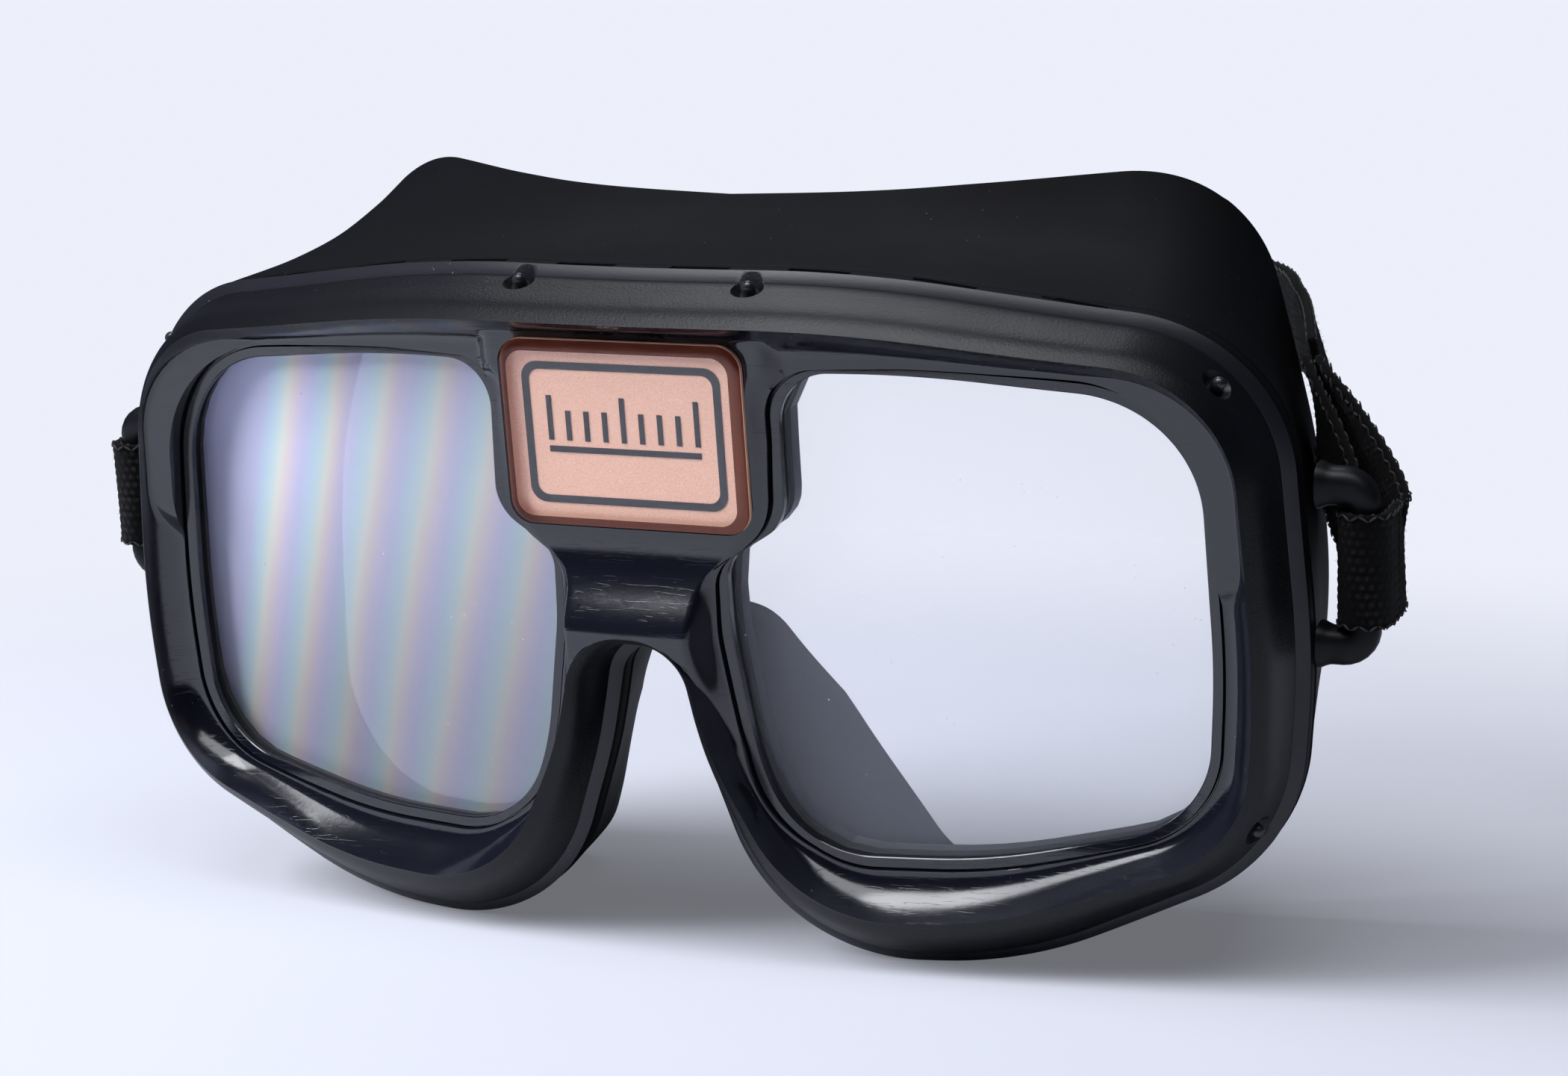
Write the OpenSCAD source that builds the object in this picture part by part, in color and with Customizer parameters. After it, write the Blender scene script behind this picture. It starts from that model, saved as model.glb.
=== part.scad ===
// Alcohol impairment goggles: a wide one-piece front rim over two laminated
// lenses, a soft face mask behind it and an elastic head strap.
// Drawn in the goggles' own frame, whose zero is the middle of the badge,
// x to the wearer's left, y from the front to the face and z up.
// The stance at the end tips the goggles onto their lobes and cheeks.

/* [Front rim] */
// Half width of the rim's ridge beside the lenses
ridge_half_w = 80.6; // [77:0.2:85]
// Height of the ridge above the middle of the badge
brow_z = 15.1; // [14.6:0.1:18]
// Depth of the lens lobes below the middle of the badge
lobe_z = 63.7; // [60:0.2:69]
// Depth of the nose arch below the middle of the badge
arch_z = 26.3; // [25:0.1:29]
// Half width of the nose arch at its top
arch_half_w = 7.9; // [7.4:0.1:9]
// Corner radius of the ridge at the brow
brow_r = 18; // [14:0.5:20]
// Corner radius of the ridge at the outer cheek
cheek_r = 16; // [12:0.5:18]
// Corner radius of the ridge at the inner lobe
lobe_r = 20; // [16:0.5:21]
// Radius that the whole front is wrapped to, seen from above
wrap_r = 267; // [240:5:400]
// Depth of the outer band from the ridge back to the lip at the brow
band_depth = 9.2; // [8:0.1:11]
// Depth of the outer band below the lenses
band_depth_low = 6.5; // [6:0.1:9]
// Flare of the outer band at the brow
flare_brow = 5.5; // [4.5:0.1:7]
// Flare of the outer band at the sides
flare_side = 4.5; // [4:0.1:6]
// Flare of the outer band under the lobes
flare_lobe = 7.9; // [7:0.1:9]
// Flare of the outer band in the nose arch
flare_nose = 3.9; // [3:0.1:4.5]
// Width of the flat lip behind the band
lip_w = 1.5; // [1.2:0.1:2]

/* [Lenses] */
// Width of the dished face between ridge and lens at the sides
dish_side = 6.4; // [5.5:0.1:8]
// Width of the dished face above the lens
dish_brow = 6.7; // [6:0.1:8]
// Width of the dished face below the lens
dish_lobe = 7.5; // [7:0.1:9]
// Depth of the lens edge behind the ridge
lens_set = 6.0; // [5.5:0.1:7]
// How far the lens reaches behind the rim's edge
lens_lap = 2.0; // [1.6:0.1:2.4]
// Thickness of the outer lens
lens_t = 1.6; // [1.2:0.1:2]
// Thickness of the impairment film
film_t = 0.8; // [0.5:0.1:1]
// Thickness of the gasket between lens and film
gasket_t = 0.8; // [0.6:0.1:1.2]
// Thickness of the lens retainer
retainer_t = 2.4; // [2:0.1:3]

/* [Badge] */
// Width of the badge
badge_w = 34; // [30:0.5:34.5]
// Height of the badge
badge_h = 25; // [22:0.2:25]
// Corner radius of the badge
badge_r = 3.2; // [2:0.1:4]
// Thickness of the badge's metal plate
badge_t = 0.6; // [0.5:0.1:0.8]
// Thickness of the clear dome over the badge
dome_t = 0.9; // [0.7:0.1:1.2]
// Width of the dome's bevelled edge
dome_bevel = 1.6; // [1:0.1:2]

/* [Face mask] */
// Thickness of the mask's wall
mask_wall = 2.1; // [1.6:0.1:2.4]
// Half width of the mask's face opening at the temples
temple_half_w = 78.5; // [75:0.5:80]
// Height of the mask's brow edge above the middle of the badge
mask_brow_z = 25.2; // [24:0.2:28]
// Depth of the mask's cheeks below the middle of the badge
mask_cheek_z = 74.6; // [74:0.1:75.6]
// Distance back to the mask's brow edge at the middle
mask_brow_y = 38.5; // [35:0.5:42]
// Distance back to the mask's upper corner at the temple
mask_temple_y = 61; // [59:0.5:65]
// Distance back to the mask's side edge beside the eye
mask_side_y = 57; // [54:0.5:58.5]
// Distance back to the mask's edge at the nose bridge
mask_nose_y = 24; // [22.5:0.5:27]
// Width of each slot for a retainer tab
slot_w = 8.3; // [7:0.1:9]
// Distance between neighbouring slots
slot_pitch = 16.15; // [15.5:0.05:16.5]

/* [Strap] */
// Width of the elastic webbing
web_w = 15; // [13:0.5:15.5]
// Thickness of the elastic webbing
web_t = 1.3; // [1:0.1:1.6]
// Radius of the bar that the webbing goes round
bar_r = 1.8; // [1.5:0.1:2]
// Clear height of the window that holds the webbing
window_h = 16.2; // [16:0.1:18]
// Distance of the bar outside the rim's lip
bar_x = 5.5; // [5.3:0.1:8]
// Distance back to the bar
bar_y = 26; // [25.5:0.1:28]
// Height of the middle of the window, below the middle of the badge
bar_z = -18.6; // [-21:0.2:-17]
// Distance back to the middle of the rear strap
strap_back_y = 112; // [110:1:125]
// Width of a strap slider
slider_w = 19.4; // [19:0.1:22]
// Length of a strap slider along the webbing
slider_l = 13; // [11:0.5:14]
// Thickness of a strap slider
slider_t = 3.6; // [3.4:0.1:5]

/* [Hidden] */

// Clearances
fit_gap = 0.3;
sheet_gap = 0.12;
tab_gap = 0.2;
web_gap = 0.3;

// Front surface of the rim: wrapped about a vertical axis and slightly bowed
face_y = -3.1;
face_tilt = 0.011;
bow_r = 870;
function sag(x) = wrap_r - sqrt(wrap_r * wrap_r - x * x);
function front(p) = face_y + sag(p[0]) + face_tilt * p[1] + p[1] * p[1] / (2 * bow_r);

// Lens seat: the same wrap, straight up and down, tipped by a hair
seat_angle = 0.92;
seat_y = face_y + lens_set + 0.95;
function seat(p) = seat_y + sag(p[0]) - tan(seat_angle) * p[1];

// Badge seat: a flat slope across the nose bridge
badge_angle = 3;
badge_seat_y = 1.55;
function bridge(p) = badge_seat_y - tan(badge_angle) * p[1];
bridge_half_w = badge_w / 2 + 3.6;

// Outlines are rings of corners, each x, z and radius, drawn for one eye and
// closed up the middle of the nose bridge
side_z = -30;
ridge_corners = [
    [0, brow_z, 0],
    [30, brow_z, 200],
    [ridge_half_w - 2.9, brow_z - 6.3, brow_r],
    [ridge_half_w, side_z, 120],
    [ridge_half_w - 1.8, 11.3 - lobe_z, cheek_r],
    [47, 0.9 - lobe_z, 60],
    [22, -lobe_z, lobe_r],
    [arch_half_w + 3, -41.5, 50],
    [arch_half_w - 0.5, 0.3 - arch_z, 8.4],
    [0, -arch_z, 0],
    [0, 3.7 - arch_z, 0],
    [0, -13, 0],
    [0, badge_h / 2 + fit_gap, 0]
];
lens_low_z = dish_lobe - lobe_z;
notch_low = [arch_half_w + 4.5, -16.6];
notch_high = [bridge_half_w + 0.1, -11.4];
lens_top = brow_z - dish_brow;
eye_corners = [
    [bridge_half_w - 0.1, lens_top, 6.5],
    [38, lens_top + 0.1, 150],
    [ridge_half_w - dish_side - 1.6, lens_top - 3.9, 17],
    [ridge_half_w - dish_side, side_z, 120],
    [ridge_half_w - dish_side - 1.2, lens_low_z + 5.6, 13],
    [45, lens_low_z + 0.2, 80],
    [20.5, lens_low_z - 0.2, 14],
    [arch_half_w + 7.3, -43, 40],
    [arch_half_w + 4.7, -26, 30],
    [notch_low[0], notch_low[1], 4.5],
    [(notch_low[0] + notch_high[0]) / 2, (notch_low[1] + notch_high[1]) / 2, 0],
    [notch_high[0], notch_high[1], 6],
    [bridge_half_w, -1.5, 0]
];
// The mask's face edge, from the brow round the temple and cheek to the nose
mask_corners = [
    [0, mask_brow_z - 0.6, 0],
    [32, mask_brow_z + 0.5, 150],
    [temple_half_w - 13, mask_brow_z + 0.8, 20],
    [temple_half_w, -20, 90],
    [temple_half_w - 3, 9.6 - mask_cheek_z, 23],
    [52, -mask_cheek_z, 40],
    [28, -mask_cheek_z, 15],
    [arch_half_w + 7, -43.5, 60],
    [arch_half_w - 0.9, -31, 6],
    [0, -31, 0]
];
// How far back that edge lies at each corner
mask_edge_y = [
    mask_brow_y, mask_brow_y + 4.5, mask_temple_y, mask_side_y, mask_side_y - 7,
    mask_side_y - 11, mask_side_y - 13.5, mask_nose_y + 8, mask_nose_y + 1.5, mask_nose_y
];
// Flare out to the lip's edge at each corner of the ridge, up to the nose arch
flares = [
    flare_brow, flare_brow, flare_side + 0.1, flare_side, flare_side + 0.7,
    flare_lobe, flare_lobe - 0.3, flare_nose + 1, flare_nose, flare_nose
];
// Depth of the band at each of these corners
band_depths = [
    band_depth, band_depth, band_depth, band_depth - 0.3, band_depth_low,
    band_depth_low, band_depth_low, band_depth_low + 0.7, band_depth - 0.4, band_depth
];

// Corner geometry
function unit(v) = v / norm(v);
function mix(a, b, t) = a + (b - a) * t;
function at(c, i) = c[(i + len(c)) % len(c)];
function xz(c, i) = [at(c, i)[0], at(c, i)[1]];
function before(c, i) = unit(xz(c, i - 1) - xz(c, i));
function after(c, i) = unit(xz(c, i + 1) - xz(c, i));
function half_angle(c, i) = acos(before(c, i) * after(c, i)) / 2;
function half_arc(c, i) = at(c, i)[2] == 0 ? 0 : at(c, i)[2] * (90 - half_angle(c, i)) * PI / 180;
function tangent(c, i) = at(c, i)[2] == 0 ? 0 : at(c, i)[2] / tan(half_angle(c, i));
function bisector(c, i) = unit(before(c, i) + after(c, i));
function arc_point(c, i, s) =
    let (r = at(c, i)[2], turn = s / r * 180 / PI, b = bisector(c, i))
    let (side = unit(after(c, i) - (after(c, i) * b) * b))
    xz(c, i) + b * r / sin(half_angle(c, i)) + r * (side * sin(turn) - b * cos(turn));
function straight(c, i) = norm(xz(c, i + 1) - xz(c, i)) - tangent(c, i) - tangent(c, i + 1);
function leg_length(c, i) = half_arc(c, i) + straight(c, i) + half_arc(c, i + 1);
// A point at distance s along the leg from the middle of corner i
function leg_point(c, i, s) =
    s < half_arc(c, i) ? arc_point(c, i, s)
    : s > half_arc(c, i) + straight(c, i) && at(c, i + 1)[2] > 0
        ? arc_point(c, i + 1, s - leg_length(c, i))
        : xz(c, i) + after(c, i) * (tangent(c, i) + s - half_arc(c, i));
function leg_points(c, i, n) = [for (j = [0:n - 1]) leg_point(c, i, j / n * leg_length(c, i))];

// Every outline has the same number of points on its matching legs
outline_step = 4.2;
legs = len(ridge_corners);
rim_legs = 9;
leg_steps = [for (i = [0:legs - 1]) max(2, round(leg_length(ridge_corners, i) / outline_step))];
function steps_before(i) = i == 0 ? 0 : leg_steps[i - 1] + steps_before(i - 1);
stations = steps_before(legs);
arch_station = steps_before(rim_legs);
function outline(c, n) = [for (i = [0:n - 1]) each leg_points(c, i, leg_steps[i])];
ridge = outline(ridge_corners, legs);
eye = outline(eye_corners, legs);
mask_edge = concat(outline(mask_corners, rim_legs), [xz(mask_corners, rim_legs)]);

// A value listed per corner, eased from one corner to the next
function ease(v, i, t) =
    let (a = v[max(i - 1, 0)], b = v[i], c = v[i + 1], d = v[min(i + 2, len(v) - 1)])
    b + t * (c - a) / 2 + t * t * (a - 2.5 * b + 2 * c - d / 2) + t * t * t * (1.5 * (b - c) + (d - a) / 2);
function per_station(v) = concat(
    [for (i = [0:rim_legs - 1]) for (j = [0:leg_steps[i] - 1]) ease(v, i, j / leg_steps[i])],
    [v[rim_legs]]
);
flare = per_station(flares);
band = per_station(band_depths);
// Along the brow that edge follows the forehead
function brow_y(x) = mix(mask_brow_y, mask_temple_y, pow((1 - cos(180 * min(1, x / 66))) / 2, 2));
temple_station = leg_steps[0] + leg_steps[1];
edge_y = [for (j = [0:arch_station]) j <= temple_station ? brow_y(mask_edge[j][0]) : per_station(mask_edge_y)[j]];

// Outward direction of the ridge; none along the bridge, straight at its ends
function outward(j) =
    j == 0 ? [0, 1]
    : j == arch_station ? [0, -1]
    : j > arch_station ? [0, 0]
    : let (t = unit(ridge[j + 1] - ridge[j - 1])) [-t[1], t[0]];
normals = [for (j = [0:stations - 1]) outward(j)];
function on_bridge(j) = j > arch_station;
// The ridge moved outward; along the bridge its points keep their shares
function spread(d) = [
    for (j = [0:stations - 1])
        on_bridge(j)
            ? [0, mix(-arch_z - d, brow_z + d, (ridge[j][1] + arch_z) / (brow_z + arch_z))]
            : ridge[j] + normals[j] * d
];
function flared(share, extra) =
    [for (j = [0:stations - 1]) ridge[j] + (on_bridge(j) ? [0, 0] : normals[j] * (flare[j] * share + extra))];
function solid(loop, ys) = [for (j = [0:len(loop) - 1]) [loop[j][0], ys[j], loop[j][1]]];

// How wide the dished face is at each station, square to the ridge
dish_w = [for (j = [0:stations - 1]) max(2.6, (ridge[j] - eye[j]) * normals[j])];
wall_w = badge_h / 2 + fit_gap < brow_z ? brow_z - badge_h / 2 - fit_gap : 2;
// Below the badge the bridge comes forward again to the top of the arch
badge_low = -badge_h / 2 - fit_gap;
function bridge_y(p) =
    p[1] > badge_low ? bridge(p)
    : mix(bridge(p), front(p), pow(min(1, (badge_low - p[1]) / (arch_z + badge_low)), 1.6));
function dish_share(k) = [0.17, 0.4, 0.72][k];
function dish_depth(share) = lens_set * (1 - pow(1 - share, 1.9));
// Beside the arch the dish starts flush and deepens down the nose legs
arch_ramp = 14;
function leg_depth(z) = lens_set * max(0, min(1, (-arch_z - z) / arch_ramp));
function above_badge(j) = ridge[j][0] < bridge_half_w && ridge[j][1] > 0;
// Above the badge a steep wall drops from the ridge to the bridge
function dish_row(k) = [
    for (j = [0:stations - 1])
        let (wall = above_badge(j) && !on_bridge(j))
        let (share = wall ? wall_w / dish_w[j] * [0.3, 1, 1.8][k] : dish_share(k))
        let (p = mix(ridge[j], eye[j], share))
        let (y = wall ? mix(front(p), bridge(p), [0.9, 1, 1][k]) : front(p) + dish_depth(share))
        let (limit = bridge_y(p) + leg_depth(p[1]))
        [p[0], on_bridge(j) ? bridge_y(p) : abs(p[0]) < bridge_half_w ? min(y, limit) : y, p[1]]
];

// Faces of a closed section with rows points, swept along count stations
function quad(a, b, c, d) = [[a, b, c], [a, c, d]];
function ring_faces(rows, count) = [
    for (k = [0:rows - 1]) for (j = [0:count - 1])
        let (k2 = (k + 1) % rows, j2 = (j + 1) % count)
        each quad(k2 * count + j, k2 * count + j2, k * count + j2, k * count + j)
];

// Two eye rings in one solid: rows first to last meet the other half at the middle
module twin_ring(rows, first, last) {
    n = stations;
    half = len(rows) * n;
    right = [for (r = rows) each r];
    left = [for (p = right) [-p[0], p[1], p[2]]];
    function middle(j) = j == 0 || j >= arch_station;
    function shared(k, j) = k >= first && k <= last && middle(j);
    function inner(k, k2, j, j2) = k >= first && k2 <= last && k2 > k && middle(j) && middle(j2);
    function id(k, j, s) = k * n + j + (s == 1 && !shared(k, j) ? half : 0);
    faces = [
        for (k = [0:len(rows) - 1]) for (j = [0:n - 1])
            let (k2 = (k + 1) % len(rows), j2 = (j + 1) % n)
            if (!inner(k, k2, j, j2) && !(j >= arch_station && k >= first && k2 <= last && k2 > k))
                for (s = [0, 1])
                    each s == 0
                        ? quad(id(k2, j, s), id(k2, j2, s), id(k, j2, s), id(k, j, s))
                        : quad(id(k, j, s), id(k, j2, s), id(k2, j2, s), id(k2, j, s))
    ];
    polyhedron(points = concat(right, left), faces = faces, convexity = 8);
}

function fronts(loop, depth) = solid(loop, [for (p = loop) front(p) + depth]);
function seated(loop, depth) = solid(loop, [for (p = loop) seat(p) + depth]);
// A share of the band's own depth behind the front surface, and a bit more
function banded(loop, share, extra) = solid(loop, [
    for (j = [0:len(loop) - 1])
        front(loop[j]) + extra + (j > arch_station ? band_depth : band[j]) * share
]);

lip_back = 1.1;
lip_depth = band_depth + lip_back;
module bezel_body() {
    channel = spread(-0.6);
    flange = [for (j = [0:stations - 1]) mix(eye[j], ridge[j], on_bridge(j) ? 0.75 : 0.5)];
    twin_ring([
        fronts(eye, lens_set),
        dish_row(2),
        dish_row(1),
        dish_row(0),
        solid(ridge, [for (j = [0:stations - 1]) on_bridge(j) ? bridge_y(ridge[j]) : front(ridge[j])]),
        banded(flared(0.3, 0.2), 0.26, 0),
        banded(flared(0.8, -0.8 * lip_w), 0.72, 0),
        banded(flared(1, -lip_w), 1, 0),
        banded(flared(1, 0), 1, lip_back),
        banded(flared(1, -lip_w - 0.6), 1, lip_back + 0.2),
        banded(flared(0.2, -1.2), 0.5, 0),
        seated(channel, -0.1),
        seated(flange, 0),
        seated(eye, 0)
    ], 4, 11);
}

// The small pegs that fix the rim, each in its own dimple on the outer band
peg_r = 0.9;
peg_l = 3.4;
dimple_r = 2.3;
dimple_deep = 1.3;
peg_spots = [
    [16.2, brow_z + 3.8, 5.8, 0, 0.86, 0.4],
    [ridge_half_w - 5.3, brow_z - 7.9, 13.9, 0.62, 0.62, 0.35],
    [ridge_half_w - 1.3, -51, 14.6, 0.82, -0.42, 0.3]
];
module at_pegs() {
    for (side = [-1, 1])
        for (s = peg_spots)
            let (d = unit([side * s[3], -s[5], s[4]]))
            translate([side * s[0], s[2], s[1]])
                rotate([0, acos(d[2]), atan2(d[1], d[0])])
                    children();
}
module bezel() {
    color([0.07, 0.07, 0.085]) difference() {
        bezel_body();
        at_pegs() {
            translate([0, 0, -peg_l])
                cylinder(r = peg_r + tab_gap / 2, h = 2 * peg_l, $fn = 24);
            translate([0, 0, -dimple_deep / 2])
                cylinder(r1 = peg_r + tab_gap, r2 = dimple_r * 2, h = dimple_deep * 3, $fn = 32);
        }
    }
}
module bezel_pins() {
    color([0.12, 0.12, 0.13]) at_pegs() {
        translate([0, 0, -peg_l / 2])
            cylinder(r = peg_r, h = peg_l / 2, $fn = 24);
        sphere(r = peg_r, $fn = 24);
    }
}

// Lens stack: lens, gasket, film, retainer
function grown(loop, d) = [
    for (j = [0:len(loop) - 1])
        let (t = unit(loop[(j + 1) % len(loop)] - loop[(j + len(loop) - 1) % len(loop)]))
        loop[j] + d * [-t[1], t[0]]
];
lens_edge = grown(eye, lens_lap);
lens_y = sheet_gap;
gasket_y = lens_y + lens_t + sheet_gap;
film_y = gasket_y + gasket_t + sheet_gap;
retainer_y = film_y + film_t + sheet_gap;

module wrapped_sheet(depth, thick, inset) {
    edge = grown(eye, lens_lap - inset);
    reach = 2 * ridge_half_w;
    intersection() {
        rotate([90, 0, 0])
            linear_extrude(height = reach, center = true)
                polygon(edge);
        rotate([seat_angle, 0, 0])
            translate([0, seat_y + wrap_r + depth, 0])
                difference() {
                    cylinder(r = wrap_r, h = reach, center = true, $fn = 360);
                    cylinder(r = wrap_r - thick, h = reach + lens_t, center = true, $fn = 360);
                }
    }
}
module other_side() {
    mirror([1, 0, 0])
        children();
}
module one_lens() {
    wrapped_sheet(lens_y, lens_t, fit_gap);
}
module one_film() {
    wrapped_sheet(film_y, film_t, 3 * fit_gap);
}
module one_gasket() {
    inside = grown(eye, 0.5);
    outside = grown(eye, lens_lap - fit_gap);
    polyhedron(
        points = concat(
            seated(inside, gasket_y), seated(outside, gasket_y),
            seated(outside, gasket_y + gasket_t), seated(inside, gasket_y + gasket_t)
        ),
        faces = ring_faces(4, stations)
    );
}
module lens_right() {
    color([0.85, 0.88, 0.92, 0.35]) one_lens();
}
module lens_left() {
    color([0.85, 0.88, 0.92, 0.35]) other_side() one_lens();
}
module film_right() {
    color([0.8, 0.82, 0.95, 0.35]) one_film();
}
module film_left() {
    color([0.8, 0.82, 0.95, 0.35]) other_side() one_film();
}
module gasket_right() {
    color([0.2, 0.2, 0.2]) one_gasket();
}
module gasket_left() {
    color([0.2, 0.2, 0.2]) other_side() one_gasket();
}

// Slots in the mask's brow take the tabs of the retainer behind the lenses
retainer_inset = 2.6;
slot_count = 4;
slot_l = 1.6;
slot_depth = lip_depth + 0.9;
slot_below = 8;
slot_above = 7;
tab_t = slot_l - 2 * tab_gap;
slot_in = 1.2;
brow_flat = 30;
brow_fall = 0.132;
function brow_line(x) = brow_z + flare_brow - slot_in - max(0, abs(x) - brow_flat) * brow_fall;
module at_slots() {
    for (side = [-1, 1])
        for (i = [0:slot_count - 1])
            let (x = side * slot_pitch * (i + 0.5))
            translate([x, front([x, brow_line(x)]) + slot_depth, brow_line(x)])
                children();
}
module lens_retainer() {
    outside = spread(-retainer_inset);
    inside = grown(eye, 0.4);
    tab_h = flare_brow + retainer_inset + 2;
    color([0.16, 0.16, 0.17]) union() {
        twin_ring([
            seated(inside, retainer_y),
            seated(outside, retainer_y),
            seated(outside, retainer_y + retainer_t),
            seated(inside, retainer_y + retainer_t)
        ], 1, 2);
        at_slots()
            translate([-slot_w / 2 + tab_gap, tab_gap, -tab_h - 0.6])
                cube([slot_w - 2 * tab_gap, tab_t, tab_h]);
    }
}

// Badge: plate, printed sheet and clear dome on the bridge's flat slope
module rounded_plate(w, h, r, t) {
    translate([-w / 2 + r, 0, -h / 2])
        cube([w - 2 * r, t, h]);
    translate([-w / 2, 0, -h / 2 + r])
        cube([w, t, h - 2 * r]);
    for (sx = [-1, 1])
        for (sz = [-1, 1])
            translate([sx * (w / 2 - r), t, sz * (h / 2 - r)])
                rotate([90, 0, 0])
                    cylinder(r = r, h = t, $fn = 48);
}
print_t = 0.1;
plate_y = -badge_t - sheet_gap;
print_y = plate_y - print_t;
module on_badge() {
    translate([0, badge_seat_y, 0])
        rotate([badge_angle, 0, 0])
            children();
}
module badge_plate() {
    color([0.72, 0.42, 0.3]) on_badge()
        translate([0, plate_y, 0])
            rounded_plate(badge_w, badge_h, badge_r, badge_t);
}
// A plain frame round a short scale of bars
frame_w = 1;
frame_inset = 3;
tick_count = 9;
tick_w = 0.7;
tick_pitch = 2.6;
module badge_print() {
    w = badge_w - 2 * frame_inset;
    h = badge_h - 2 * frame_inset;
    color([0.05, 0.05, 0.05]) on_badge() translate([0, print_y, 0]) {
        difference() {
            rounded_plate(w, h, badge_r - 1, print_t);
            translate([0, -print_t, 0])
                rounded_plate(w - 2 * frame_w, h - 2 * frame_w, badge_r - 1.6, 3 * print_t);
        }
        for (i = [0:tick_count - 1])
            translate([(i - (tick_count - 1) / 2) * tick_pitch - tick_w / 2, 0, -1])
                cube([tick_w, print_t, i % 4 == 0 ? 6 : 4]);
        translate([-(tick_count - 1) / 2 * tick_pitch - tick_w / 2, 0, -2.6])
            cube([(tick_count - 1) * tick_pitch + tick_w, print_t, 0.8]);
    }
}
module badge_dome() {
    color([0.9, 0.75, 0.65, 0.4]) on_badge()
        translate([0, print_y - sheet_gap, 0])
            hull() {
                translate([0, -dome_t * 0.4, 0])
                    rounded_plate(badge_w, badge_h, badge_r, dome_t * 0.4);
                translate([0, -dome_t, 0])
                    rounded_plate(badge_w - 2 * dome_bevel, badge_h - 2 * dome_bevel, badge_r, dome_t * 0.4);
            }
}

// Face mask: one soft wall from behind the lip back to the face
mask_start = lip_back + fit_gap;
mask_inset = 1.0;
flange_t = 1.4;
flange_in = 0.8;
half = arch_station;
function whole(v) = concat([for (j = [0:half]) v[j]], [for (j = [half - 1:-1:1]) [-v[j][0], v[j][1], v[j][2]]]);
function mask_front(d) = [for (j = [0:half]) ridge[j] + normals[j] * (flare[j] - mask_inset + d)];
edge_normals = [
    for (j = [0:half])
        j == 0 ? [0, 1]
        : j == half ? [0, -1]
        : let (t = unit(mask_edge[j + 1] - mask_edge[j - 1])) [-t[1], t[0]]
];
// Between the front and the face edge the wall bellies in above the brow
// and a little out at the temples
sway = per_station([-0.8, -1, 0, 0.3, -1, 0, 0.2, 0, 0.4, 0.4]);
// and it curls outward just before the edge
mask_curl = 0.8;
function wall_row(w, in) = [
    for (j = [0:half])
        let (a = mask_front(-in)[j], b = mask_edge[j] - edge_normals[j] * in)
        let (ya = front(a) + band[j] + mask_start + 3.2, belly = sway[j] * 4 * w * (1 - w))
        let (share = w - mask_curl * w * w * (1 - w))
        let (p = mix(a, b, share) + mix(normals[j], edge_normals[j], w) * belly)
        [p[0], mix(ya, edge_y[j], w), p[1]]
];
function mask_row(loop, depth) =
    [for (j = [0:half]) [loop[j][0], front(loop[j]) + band[j] + depth, loop[j][1]]];
function edge_row(in, back) = [
    for (j = [0:half])
        let (p = mask_edge[j] - edge_normals[j] * in)
        [p[0], edge_y[j] + back, p[1]]
];
module mask_body() {
    flange = [for (j = [0:half]) ridge[j] - normals[j] * flange_in];
    rows = [
        mask_row(mask_front(0), mask_start),
        mask_row(mask_front(0.9), mask_start + 0.9),
        wall_row(0, -0.9),
        wall_row(0.3, -0.5),
        wall_row(0.6, -0.2),
        wall_row(0.85, -0.2),
        edge_row(-0.3, 0),
        edge_row(0.8, 1.3),
        edge_row(mask_wall + 0.5, 0.2),
        wall_row(0.85, mask_wall),
        wall_row(0.6, mask_wall),
        wall_row(0.3, mask_wall),
        mask_row(mask_front(-mask_wall), mask_start + flange_t + 0.5),
        mask_row(flange, mask_start + flange_t),
        mask_row(flange, mask_start)
    ];
    polyhedron(
        points = [for (r = rows) each whole(r)],
        faces = ring_faces(len(rows), 2 * half),
        convexity = 8
    );
}
module face_mask() {
    color([0.06, 0.06, 0.065]) difference() {
        mask_body();
        at_slots()
            translate([-slot_w / 2, 0, -slot_below])
                cube([slot_w, slot_l, slot_below + slot_above]);
    }
}

// Moulded loop with a round bar, one on each side of the mask
arm_r = 2.4;
lip_x = ridge_half_w + flare_side;
foot_gap = 0.1;
foot_x = lip_x + foot_gap;
foot_t = 1.6;
foot_r = 3.2;
bar_end = window_h / 2 + arm_r;
bar_at = [lip_x + bar_x, bar_y, bar_z];
module one_loop() {
    for (s = [-1, 1])
        translate([foot_x, bar_y, bar_z + s * bar_end])
            rotate([0, 90, 0]) {
                cylinder(r1 = foot_r, r2 = arm_r, h = foot_t, $fn = 40);
                cylinder(r = arm_r, h = bar_at[0] - foot_x, $fn = 40);
            }
    for (s = [-1, 1])
        translate(bar_at + [0, 0, s * bar_end])
            sphere(r = arm_r, $fn = 40);
    translate(bar_at - [0, 0, bar_end])
        cylinder(r = bar_r, h = 2 * bar_end, $fn = 40);
}
module strap_loop_right() {
    color([0.08, 0.08, 0.09]) one_loop();
}
module strap_loop_left() {
    color([0.08, 0.08, 0.09]) other_side() one_loop();
}

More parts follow.
